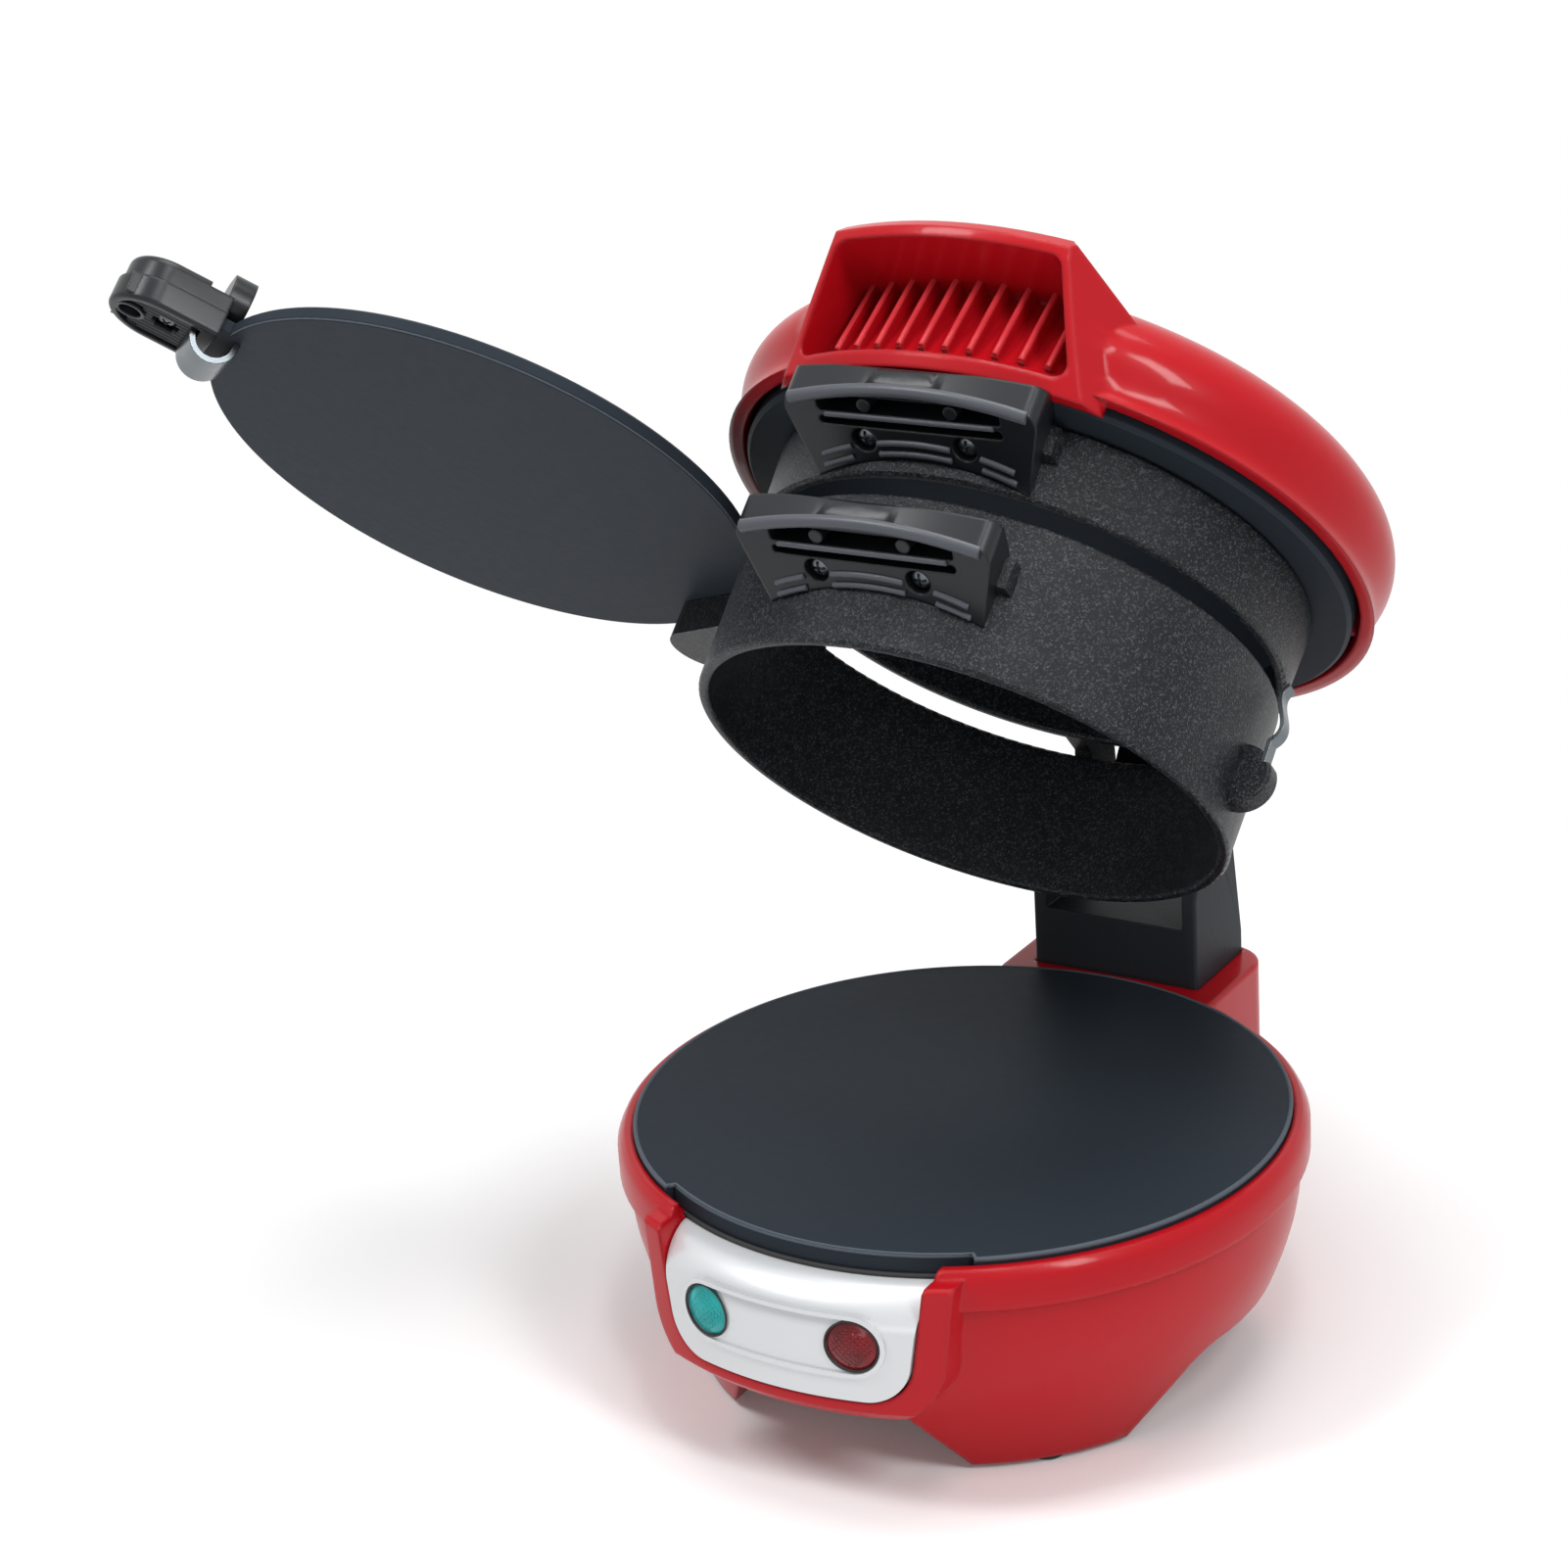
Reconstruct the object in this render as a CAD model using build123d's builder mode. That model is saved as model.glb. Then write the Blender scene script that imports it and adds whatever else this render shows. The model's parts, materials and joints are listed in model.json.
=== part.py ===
from build123d import *
import os
from math import atan2, cos, radians, sin, tan

# Breakfast sandwich maker: a round base with a heated plate, two non-stick rings, a cooking
# plate that swings in the slot between them, and a heated cover, all on one rear hinge.
# Millimetres. Origin: middle of the open machine's outline on the table. +Z up, the front faces
# -Y, +X is right. Pieces are drawn about the bowl's axis and moved to the origin when saved.
# The lifting pieces are drawn closed and are turned about the hinge axle to the open pose.

os.makedirs("parts", exist_ok=True)

# Driving dimensions: where the bowl's axis stands
bowl_x = 47.6
bowl_y = -16.7
# Driving dimensions: heights of the closed stack
plate_top = 50.0
plate_thick = 4.0
ring_lift = 0.3
slot_low = 81.3
slot_height = 4.0
cover_plate_low = 101.3
# Driving dimensions: radii
rim_radius = 67.8
plate_radius = rim_radius - 3.4
frame_radius = 71.3
panel_edge_radius = frame_radius - 8.1
plate_front_radius = panel_edge_radius - 0.6
ring_low_radius = 53.2
ring_slot_radius = 53.8
ring_high_radius = 54.5
ring_wall = 2.2
cooking_plate_radius = 58.0
cover_plate_radius = 61.8
# Driving dimensions: rear hinge
hinge_y = 78.4
hinge_z = 76.5
axle_radius = 3.0
knuckle_radius = 6.5
open_angle = 46.6
# Driving dimensions: swing of the cooking plate
pivot_x = -63.5
pivot_y = 10.0
rivet_radius = 2.5
swing_angle = -121.3
plate_handle_angle = -9.0
# Walls, rounds and clearances
shell_wall = 2.4
running_fit = 0.06
seat_gap = 0.1
piece_gap = 0.25
knuckle_gap = 0.6
edge_round = 0.8
reach_far = 120.0

slot_high = slot_low + slot_height
plate_low = plate_top - plate_thick
ring_base = plate_top + ring_lift


def save(piece, name):
    """Move a finished piece to the origin, label it and write it out."""
    piece.part.move(Pos(bowl_x, bowl_y, 0))
    piece.part.label = name
    export_step(piece.part, f"parts/{name}.step")


def lift(piece):
    """Turn a piece of the closed stack about the axle to the open pose."""
    to_axle = Pos(0, hinge_y, hinge_z)
    piece.part.move(to_axle * Rot(-open_angle, 0, 0) * to_axle.inverse())


def swing(piece):
    """Swing a piece of the closed cooking plate out of the slot, then lift it."""
    to_axle = Pos(0, hinge_y, hinge_z)
    to_pivot = Pos(pivot_x, pivot_y, 0)
    opened = to_axle * Rot(-open_angle, 0, 0) * to_axle.inverse()
    piece.part.move(opened * to_pivot * Rot(0, 0, swing_angle) * to_pivot.inverse())


def profile(points):
    """Closed face in the XZ plane from (radius, height) corners, ready to revolve."""
    with BuildSketch(Plane.XZ) as shape:
        with BuildLine():
            Polyline(*points, close=True)
        make_face()
    return shape.sketch


def side_face(x, points):
    """Closed face across the machine at a station x from (depth, height) corners."""
    with BuildSketch(Plane.YZ.offset(x)) as shape:
        with BuildLine():
            Polyline(*points, close=True)
        make_face()
    return shape.sketch


def front_plane(angle, height):
    """Vertical plane through the axis at a height, facing outwards at an angle from the front."""
    aim = radians(angle)
    return Plane((0, 0, height), x_dir=(cos(aim), sin(aim), 0), z_dir=(sin(aim), -cos(aim), 0))


# Base housing: a glossy bowl on four wide feet, with a proud frame round the control panel
foot_radius = 55.0
foot_bore = 47.0
rim_low = 40.5
rim_top = 48.8
rim_lip = rim_radius - 1.6
rim_bore = plate_radius + piece_gap
ledge_radius = plate_radius - 4.4
ledge_low = 42.0
ledge_top = plate_low - seat_gap
floor_low = 18.0
floor_top = floor_low + shell_wall
floor_bore = 40.0
arch_top = 17.6
arch_low_half = 27.0
arch_top_half = 16.0
arch_round = 9.0
bowl_steps = [(2.0, 40.5), (2.9, 29.0), (6.3, 18.5), (10.4, 9.0), (13.4, 1.2)]
bowl_curve = [(rim_radius - step, height) for step, height in bowl_steps]
cavity_steps = [(4.8, 40.0), (5.6, 29.0), (8.6, 20.4)]
cavity_curve = [(rim_radius - step, height) for step, height in cavity_steps]
boss_radius = 4.2
boss_top = 36.9
boss_circle = 51.0
screw_shank = 1.5
screw_head = 3.0
boss_turn = 90.0
screw_head_high = 1.6
screw_recess = 2.0
plate_screw_length = 24.0
cover_screw_circle = 43.4
cover_thick = 1.8
vent_circle = 27.0
vent_count = 12
vent_length = 12.0
vent_width = 2.6
pad_circle = 50.6
pad_radius = 3.4
pad_high = 1.2
gland_height = 34.0
gland_radius = 5.5
# Hidden side of the two heating plates
seat_outer = 45.0
seat_inner = 35.0
post_circle = 28.0
post_radius = 3.2
post_length = 9.0
shield_shank = 1.2
step_angle = 31.0
step_left = (-reach_far * tan(radians(step_angle)), -reach_far)
step_right = (reach_far * tan(radians(step_angle)), -reach_far)
# Panel opening, seen from the front
panel_top_half = 29.0
panel_mid_half = 26.8
panel_low_half = 24.6
panel_high = 56.0
panel_mid = 39.0
panel_low = 24.0
panel_corner = 8.5
frame_width = 5.2
frame_low = 19.4
frame_high = 47.4
panel_radius = frame_radius + 0.3
panel_thick = 2.2
panel_edge_top = 45.6
panel_roll = 37.6
badge_length = 43.5
badge_height = 12.8
badge_raise = 0.5
badge_line = 0.9
# Indicator lenses
lens_radius = 5.0
lens_angle = 12.5
lens_height = 35.4
lens_back = panel_radius - 6.6
lens_face = panel_radius + 0.3
lens_dome = 1.5
# Rear socket that carries the hinge tower
lug_half = 25.0
lug_back = 92.0
lug_round = 9.0
lug_top = 49.0
tower_half = 19.0
tower_front = 67.2
tower_back = 90.0
tower_foot = 26.0


def panel_outline(grow):
    """Outline of the control panel on the front, grown by a margin."""
    with BuildSketch(Plane.XZ) as outline:
        with BuildLine():
            Polyline(
                (panel_top_half + grow, panel_high),
                (panel_mid_half + grow, panel_mid),
                (panel_low_half + grow, panel_low - grow),
                (-panel_low_half - grow, panel_low - grow),
                (-panel_mid_half - grow, panel_mid),
                (-panel_top_half - grow, panel_high),
                close=True,
            )
        make_face()
        fillet(outline.vertices().group_by(Axis.Y)[0], radius=panel_corner + grow)
    return outline.sketch


with BuildPart() as frame:
    corners = [
        (rim_bore, frame_high),
        (frame_radius - edge_round, frame_high),
        (frame_radius, frame_high - edge_round),
        (frame_radius, frame_low + shell_wall),
        (frame_radius - shell_wall, frame_low),
        (foot_radius, frame_low),
        (lens_back, frame_high - shell_wall),
    ]
    revolve(profile(corners), axis=Axis.Z)
    extrude(panel_outline(frame_width), amount=reach_far, mode=Mode.INTERSECT)

with BuildPart() as panel_pocket:
    corners = [
        (panel_edge_radius - piece_gap, panel_high),
        (panel_edge_radius - piece_gap, panel_edge_top - panel_thick),
        (panel_radius - panel_thick - piece_gap, panel_roll),
        (panel_radius - panel_thick - piece_gap, frame_low),
        (reach_far, frame_low),
        (reach_far, panel_high),
    ]
    revolve(profile(corners), axis=Axis.Z)
    extrude(panel_outline(piece_gap), amount=reach_far, mode=Mode.INTERSECT)

with BuildPart() as rear_lug:
    with BuildSketch(Plane.XY.offset(floor_low)):
        with Locations((0, (foot_radius + lug_back) / 2)):
            RectangleRounded(2 * lug_half, lug_back - foot_radius, lug_round)
    extrude(amount=lug_top - floor_low)
    fillet(rear_lug.edges().group_by(Axis.Z)[-1], edge_round)

with BuildPart() as base_housing:
    # Outer bowl with its overhanging rim band
    with BuildSketch(Plane.XZ):
        with BuildLine():
            Spline(*bowl_curve)
            Polyline(
                bowl_curve[0],
                (rim_radius - edge_round, rim_low),
                (rim_radius, rim_low + edge_round),
                (rim_radius, rim_top - shell_wall),
                (rim_radius - edge_round, rim_top - edge_round),
                (rim_lip, rim_top),
                (0, rim_top),
                (0, pad_high),
                bowl_curve[-1],
            )
        make_face()
    revolve(axis=Axis.Z)
    # Arches between the four feet
    with BuildSketch(Plane.XZ, mode=Mode.PRIVATE) as arch:
        with BuildLine():
            Polyline(
                (-arch_low_half, 0),
                (-arch_top_half, arch_top),
                (arch_top_half, arch_top),
                (arch_low_half, 0),
                close=True,
            )
        make_face()
        fillet(arch.vertices().group_by(Axis.Y)[-1], radius=arch_round)
    for quarter in range(4):
        extrude(arch.sketch.rotate(Axis.Z, 90 * quarter), amount=reach_far, mode=Mode.SUBTRACT)
    add(rear_lug.part)
    add(frame.part)
    # Hollow inside, open above the ledge for the plate and below for the bottom cover
    with BuildSketch(Plane.XZ):
        with BuildLine():
            Polyline(
                cavity_curve[-1],
                (0, floor_top),
                (0, reach_far),
                (rim_bore, reach_far),
                (rim_bore, ledge_top),
                (ledge_radius, ledge_top),
                (ledge_radius, ledge_low),
                cavity_curve[0],
            )
            Spline(*cavity_curve)
        make_face()
    revolve(axis=Axis.Z, mode=Mode.SUBTRACT)
    with BuildSketch():
        Circle(foot_bore)
    extrude(amount=floor_low, mode=Mode.SUBTRACT)
    with BuildSketch():
        Circle(floor_bore)
    extrude(amount=floor_top, mode=Mode.SUBTRACT)
    # Openings for the panel, the lenses, the tower and the plate screws
    add(panel_pocket.part, mode=Mode.SUBTRACT)
    for side in (-1, 1):
        with BuildSketch(front_plane(lens_angle * side, lens_height)):
            Circle(lens_radius + piece_gap)
        extrude(amount=reach_far, mode=Mode.SUBTRACT)
    with BuildSketch(Plane.XY.offset(tower_foot - seat_gap)):
        with Locations((0, (tower_front + tower_back) / 2)):
            Rectangle(2 * (tower_half + seat_gap), tower_back - tower_front + 2 * seat_gap)
    extrude(amount=reach_far, mode=Mode.SUBTRACT)
    with BuildSketch(Plane.XY.offset(floor_top)):
        with PolarLocations(boss_circle, 3, start_angle=boss_turn):
            Circle(boss_radius)
    extrude(amount=boss_top - floor_top)
    with BuildSketch(Plane.XY.offset(floor_low)):
        with PolarLocations(boss_circle, 3, start_angle=boss_turn):
            Circle(screw_shank + piece_gap)
    extrude(amount=reach_far, mode=Mode.SUBTRACT)
    with BuildSketch():
        with PolarLocations(boss_circle, 3, start_angle=boss_turn):
            Circle(screw_head + piece_gap)
    extrude(amount=floor_low + screw_recess, mode=Mode.SUBTRACT)
    with BuildSketch(Plane.XY.offset(floor_low)):
        with PolarLocations(cover_screw_circle, 4, start_angle=45):
            Circle(screw_shank + seat_gap)
    extrude(amount=shell_wall, mode=Mode.SUBTRACT)
    with BuildSketch(Plane.XZ.offset(-lug_back)):
        with Locations((0, gland_height)):
            Circle(gland_radius)
    extrude(amount=lug_back - foot_radius, mode=Mode.SUBTRACT)
save(base_housing, "base_housing")

# Bottom cover, its screws, the rubber pads and the long screws that hold the plate
with BuildPart() as bottom_cover:
    with BuildSketch(Plane.XY.offset(floor_low - seat_gap)):
        Circle(foot_bore - piece_gap)
    extrude(amount=-cover_thick)
    with BuildSketch(Plane.XY.offset(floor_low)):
        Circle(floor_bore - piece_gap)
        Circle(floor_bore - shell_wall, mode=Mode.SUBTRACT)
    extrude(amount=-cover_thick)
    with BuildSketch(Plane.XY.offset(floor_low)):
        Circle(floor_bore - piece_gap)
        Circle(floor_bore - shell_wall, mode=Mode.SUBTRACT)
    extrude(amount=shell_wall)
    with BuildSketch(Plane.XY.offset(floor_low)):
        with PolarLocations(cover_screw_circle, 4, start_angle=45):
            Circle(screw_shank + piece_gap)
        with PolarLocations(vent_circle, vent_count):
            SlotOverall(vent_length, vent_width)
    extrude(amount=-2 * cover_thick, mode=Mode.SUBTRACT)
save(bottom_cover, "bottom_cover")

with BuildPart() as cover_screws:
    with BuildSketch(Plane.XY.offset(floor_low - seat_gap - cover_thick)):
        with PolarLocations(cover_screw_circle, 4, start_angle=45):
            Circle(screw_head)
    extrude(amount=-screw_head_high)
    with BuildSketch(Plane.XY.offset(floor_low - seat_gap - cover_thick)):
        with PolarLocations(cover_screw_circle, 4, start_angle=45):
            Circle(screw_shank)
    extrude(amount=cover_thick + shell_wall)
save(cover_screws, "cover_screws")

with BuildPart() as plate_screws:
    with BuildSketch(Plane.XY.offset(floor_low + screw_recess)):
        with PolarLocations(boss_circle, 3, start_angle=boss_turn):
            Circle(screw_head)
    extrude(amount=-screw_head_high)
    with BuildSketch(Plane.XY.offset(floor_low + screw_recess)):
        with PolarLocations(boss_circle, 3, start_angle=boss_turn):
            Circle(screw_shank)
    extrude(amount=plate_screw_length)
save(plate_screws, "plate_screws")

with BuildPart() as rubber_feet:
    with BuildSketch():
        with PolarLocations(pad_circle, 4, start_angle=45):
            Circle(pad_radius)
    extrude(amount=pad_high)
    chamfer(rubber_feet.edges().group_by(Axis.Z)[0], pad_high / 3)
save(rubber_feet, "rubber_feet")


# Lower heating plate: cast disc, stepped back at the front to clear the panel
with BuildPart() as lower_heating_plate:
    with BuildSketch(Plane.XY.offset(plate_low)):
        Circle(plate_radius)
    extrude(amount=plate_thick)
    chamfer(lower_heating_plate.edges().group_by(Axis.Z)[-1], edge_round)
    with BuildSketch(Plane.XY.offset(plate_low)):
        Circle(reach_far)
        Circle(plate_front_radius, mode=Mode.SUBTRACT)
        with BuildLine():
            Polyline((0, 0), step_left, step_right, close=True)
        make_face(mode=Mode.INTERSECT)
    extrude(amount=plate_thick, mode=Mode.SUBTRACT)
    with BuildSketch(Plane.XY.offset(plate_low)):
        with PolarLocations(boss_circle, 3, start_angle=boss_turn):
            Circle(boss_radius)
        with PolarLocations(post_circle, 3, start_angle=boss_turn):
            Circle(post_radius)
    extrude(amount=-post_length)
    with BuildSketch(Plane.XY.offset(plate_low - post_length)):
        with PolarLocations(boss_circle, 3, start_angle=boss_turn):
            Circle(screw_shank + seat_gap)
        with PolarLocations(post_circle, 3, start_angle=boss_turn):
            Circle(shield_shank + seat_gap)
    extrude(amount=post_length, mode=Mode.SUBTRACT)
save(lower_heating_plate, "lower_heating_plate")


# Heating hardware on the back of both plates
element_radius = 40.0
tube_radius = 3.0
element_arc = 320.0
element_ends = (-68.0, -112.0)
element_cap = 2.0
terminal_length = 6.5
shield_radius = 46.5
shield_thick = 0.8
thermostat_radius = 8.0
thermostat_high = 8.5
fuse_radius = 2.2
fuse_length = 16.0
fuse_y = 19.0
tab_width = 4.8
tab_thick = 0.8
tab_high = 6.0


def on_circle(radius, angle):
    """Point on a circle about the axis."""
    return (radius * cos(radians(angle)), radius * sin(radians(angle)))


def shield(low):
    """Thin steel reflector over a heating element."""
    with BuildPart() as disc:
        with BuildSketch(Plane.XY.offset(low)):
            Circle(shield_radius)
            Circle(thermostat_radius + 2 * knuckle_gap, mode=Mode.SUBTRACT)
            with PolarLocations(post_circle, 3, start_angle=boss_turn):
                Circle(shield_shank + piece_gap, mode=Mode.SUBTRACT)
            for end in element_ends:
                with Locations(on_circle(element_radius, end)):
                    Circle(tube_radius + 2 * knuckle_gap, mode=Mode.SUBTRACT)
        extrude(amount=shield_thick)
    return disc


def element(height, up):
    """Tubular heater: most of a circle with two terminals turned away from the plate."""
    with BuildPart() as heater:
        start = Plane.XZ.rotated((0, 0, element_ends[0] - element_cap))
        with BuildSketch(start):
            with Locations((element_radius, height)):
                Circle(tube_radius)
        revolve(axis=Axis.Z, revolution_arc=element_arc)
        for end in element_ends:
            spot = on_circle(element_radius, end)
            with BuildSketch(Plane.XY.offset(height)):
                with Locations(spot):
                    Circle(tube_radius)
            extrude(amount=up * terminal_length)
            with BuildSketch(Plane.XY.offset(height + up * terminal_length)):
                with Locations(spot):
                    Circle(tube_radius / 3)
            extrude(amount=up * tube_radius)
    return heater


lower_element = element(plate_low - seat_gap - tube_radius, -1)
save(lower_element, "lower_element")

lower_shield = shield(plate_low - post_length - seat_gap - shield_thick)
save(lower_shield, "lower_heat_shield")


def shield_fasteners(seat, up):
    """Short pan-head screws through the shield into the plate's posts."""
    with BuildPart() as screws:
        with BuildSketch(Plane.XY.offset(seat)):
            with PolarLocations(post_circle, 3, start_angle=boss_turn):
                Circle(2 * shield_shank)
        extrude(amount=up * shield_shank)
        with BuildSketch(Plane.XY.offset(seat)):
            with PolarLocations(post_circle, 3, start_angle=boss_turn):
                Circle(shield_shank)
        extrude(amount=-up * post_length / 2)
    return screws


lower_shield_screws = shield_fasteners(plate_low - post_length - 2 * seat_gap - shield_thick, -1)
save(lower_shield_screws, "lower_shield_screws")

with BuildPart() as thermostat:
    with BuildSketch(Plane.XY.offset(plate_low - seat_gap)):
        Circle(thermostat_radius)
    extrude(amount=-thermostat_high)
    fillet(thermostat.edges().group_by(Axis.Z)[0], edge_round)
    with BuildSketch(Plane.XY.offset(plate_low - seat_gap - thermostat_high)):
        with Locations((-thermostat_radius / 2, 0), (thermostat_radius / 2, 0)):
            Rectangle(tab_thick, tab_width)
    extrude(amount=-tab_high)
save(thermostat, "thermostat")


def fuse(height):
    """Thermal cut-out: a sleeve lying against the back of a plate, with two lead stubs."""
    with BuildPart() as sleeve:
        with BuildSketch(Plane.YZ.offset(-fuse_length / 2)):
            with Locations((fuse_y, height)):
                Circle(fuse_radius)
        extrude(amount=fuse_length)
        with BuildSketch(Plane.YZ.offset(-fuse_length)):
            with Locations((fuse_y, height)):
                Circle(fuse_radius / 3)
        extrude(amount=2 * fuse_length)
    return sleeve


thermal_fuse = fuse(plate_low - seat_gap - fuse_radius)
save(thermal_fuse, "lower_thermal_fuse")

# Control panel: silver shell wrapped round the front, rolled back to the plate at the top
roll_steps = [(0, 0), (2.6, 0.5), (5.4, 2.2), (7.6, 5.0)]
roll_points = [(panel_edge_radius + out, panel_edge_top - down) for out, down in roll_steps]
roll_points.append((panel_radius, panel_roll))
with BuildPart() as badge_ring:
    corners = [
        (panel_radius - edge_round, panel_low),
        (panel_radius + badge_raise, panel_low),
        (panel_radius + badge_raise, panel_high),
        (panel_radius - edge_round, panel_high),
    ]
    revolve(profile(corners), axis=Axis.Z)
    with BuildSketch(Plane.XZ):
        with Locations((0, lens_height)):
            SlotOverall(badge_length, badge_height)
            SlotOverall(badge_length - 2 * badge_line, badge_height - 2 * badge_line, mode=Mode.SUBTRACT)
    extrude(amount=reach_far, mode=Mode.INTERSECT)

with BuildPart() as control_panel:
    with BuildSketch(Plane.XZ):
        with BuildLine():
            Spline(*roll_points)
            Polyline(
                roll_points[-1],
                (panel_radius, panel_low),
                (panel_radius - panel_thick, panel_low),
                (panel_radius - panel_thick, panel_roll),
                (panel_edge_radius, panel_edge_top - panel_thick),
                roll_points[0],
            )
        make_face()
    revolve(axis=Axis.Z)
    extrude(panel_outline(-seat_gap), amount=reach_far, mode=Mode.INTERSECT)
    add(badge_ring.part)
    for side in (-1, 1):
        with BuildSketch(front_plane(lens_angle * side, lens_height)):
            Circle(lens_radius + seat_gap)
        extrude(amount=reach_far, mode=Mode.SUBTRACT)
save(control_panel, "control_panel")

# Indicator lenses, neon lamps and their holder
lamp_radius = 2.9
lamp_front = lens_face - 3.3
lamp_back = lamp_front - 15.6
holder_outer = lens_back - 7.5
holder_inner = holder_outer - 2.5
holder_half = 19.0
holder_top = 42.0


def lens(side):
    """Round domed lens with a hollow stem over its lamp."""
    with BuildPart() as cap:
        with BuildSketch(front_plane(lens_angle * side, lens_height).offset(lens_back)):
            Circle(lens_radius)
        extrude(amount=lens_face - lens_back)
        fillet(cap.edges().group_by(Axis.Y)[0], lens_dome)
        with BuildSketch(front_plane(lens_angle * side, lens_height).offset(lens_back)):
            Circle(lamp_radius + 2 * piece_gap)
        extrude(amount=lamp_front + piece_gap - lens_back, mode=Mode.SUBTRACT)
    return cap


ready_lens = lens(-1)
save(ready_lens, "ready_lens")
power_lens = lens(1)
save(power_lens, "power_lens")

with BuildPart() as neon_lamps:
    for side in (-1, 1):
        with BuildSketch(front_plane(lens_angle * side, lens_height).offset(lamp_back)):
            Circle(lamp_radius)
        extrude(amount=lamp_front - lamp_back)
save(neon_lamps, "neon_lamps")

with BuildPart() as lamp_holder:
    corners = [
        (holder_inner, floor_top + seat_gap),
        (holder_outer, floor_top + seat_gap),
        (holder_outer, holder_top),
        (holder_inner, holder_top),
    ]
    revolve(profile(corners), axis=Axis.Z)
    with BuildSketch(Plane.XZ):
        with Locations((0, floor_top)):
            Rectangle(2 * holder_half, reach_far)
    extrude(amount=reach_far, mode=Mode.INTERSECT)
    for side in (-1, 1):
        with BuildSketch(front_plane(lens_angle * side, lens_height)):
            Circle(lamp_radius + running_fit)
        extrude(amount=reach_far, mode=Mode.SUBTRACT)
save(lamp_holder, "lamp_holder")

# Hinge tower: tapered column with a forked top, open for the hinge arms
tower_crown = 7.8
fork_floor = 62.0
fork_half = 15.8
with BuildPart() as hinge_tower:
    with BuildSketch(Plane.YZ.offset(-tower_half)):
        with BuildLine():
            Polyline(
                (tower_front, tower_foot),
                (tower_back, tower_foot),
                (tower_back, plate_top + tower_crown / 2),
                (tower_front, hinge_z - tower_crown),
                close=True,
            )
            CenterArc((hinge_y, hinge_z), tower_crown, 0, 360)
        make_hull()
    extrude(amount=2 * tower_half)
    fillet(hinge_tower.edges().filter_by(Plane.YZ).group_by(Axis.X)[0], edge_round)
    fillet(hinge_tower.edges().filter_by(Plane.YZ).group_by(Axis.X)[-1], edge_round)
    with BuildSketch(Plane.XY.offset(fork_floor)):
        with Locations((0, hinge_y)):
            Rectangle(2 * fork_half, 4 * tower_half)
    extrude(amount=reach_far, mode=Mode.SUBTRACT)
    with BuildSketch(Plane.YZ.offset(-tower_half)):
        with Locations((hinge_y, hinge_z)):
            Circle(axle_radius + seat_gap / 2)
    extrude(amount=2 * tower_half, mode=Mode.SUBTRACT)
    # Way for the lead from the inlet to the bowl
    with BuildSketch(Plane.XZ.offset(-tower_back)):
        with Locations((0, gland_height)):
            Circle(gland_radius - edge_round)
    extrude(amount=tower_back - tower_front, mode=Mode.SUBTRACT)
save(hinge_tower, "hinge_tower")

with BuildPart() as hinge_axle:
    with BuildSketch(Plane.YZ.offset(-tower_half)):
        with Locations((hinge_y, hinge_z)):
            Circle(axle_radius)
    extrude(amount=2 * tower_half)
save(hinge_axle, "hinge_axle")

with BuildPart() as axle_caps:
    for face in (tower_half + seat_gap, -tower_half - seat_gap - edge_round):
        with BuildSketch(Plane.YZ.offset(face)):
            with Locations((hinge_y, hinge_z)):
                Circle(knuckle_radius - edge_round)
        extrude(amount=edge_round)
save(axle_caps, "axle_caps")

with BuildPart() as cord_inlet:
    with BuildSketch(Plane.XZ.offset(-lug_back - seat_gap)):
        with Locations((0, gland_height)):
            Circle(gland_radius - seat_gap)
    extrude(amount=lug_back + seat_gap - tower_back)
    with BuildSketch(Plane.XZ.offset(-lug_back - seat_gap)):
        with Locations((0, gland_height)):
            Circle(gland_radius + edge_round)
    extrude(amount=-2 * edge_round)
    fillet(cord_inlet.edges().group_by(Axis.Y)[-1], edge_round)
    with BuildSketch(Plane.XZ.offset(-lug_back - shell_wall)):
        with Locations((0, gland_height)):
            Circle(gland_radius / 2)
    extrude(amount=reach_far, mode=Mode.SUBTRACT)
save(cord_inlet, "cord_inlet")


def hull_face(x, corners, centre, radius):
    """Side face at a station x that wraps a circle and some corner points."""
    with BuildSketch(Plane.YZ.offset(x)) as face:
        with BuildLine():
            Polyline(*corners)
            CenterArc(centre, radius, 0, 360)
        make_hull()
    return face.sketch


def wall_face(base, top, base_radius, top_radius):
    """Section of a ring wall with rounded rims."""
    with BuildSketch(Plane.XZ) as wall:
        with BuildLine():
            Polyline(
                (base_radius, base),
                (top_radius, top),
                (top_radius - ring_wall, top),
                (base_radius - ring_wall, base),
                close=True,
            )
        make_face()
        fillet(wall.vertices(), radius=edge_round)
    return wall.sketch


def under_plane(base, radius):
    """Sloping underside of a ring handle: local Y runs outwards from the ring."""
    slope = atan2(handle_rise, handle_reach)
    return Plane((0, -radius, base), x_dir=(1, 0, 0), z_dir=(0, -sin(slope), -cos(slope)))


def bracket_face(base, radius, grow):
    """Section of the flange that carries a ring handle."""
    return profile([
        (radius - ring_wall / 2, base + bracket_low - grow),
        (radius + bracket_deep + grow, base + bracket_low - grow),
        (radius + bracket_deep + grow, base + bracket_high + grow),
        (radius - ring_wall / 2, base + bracket_high + grow),
    ])


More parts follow.
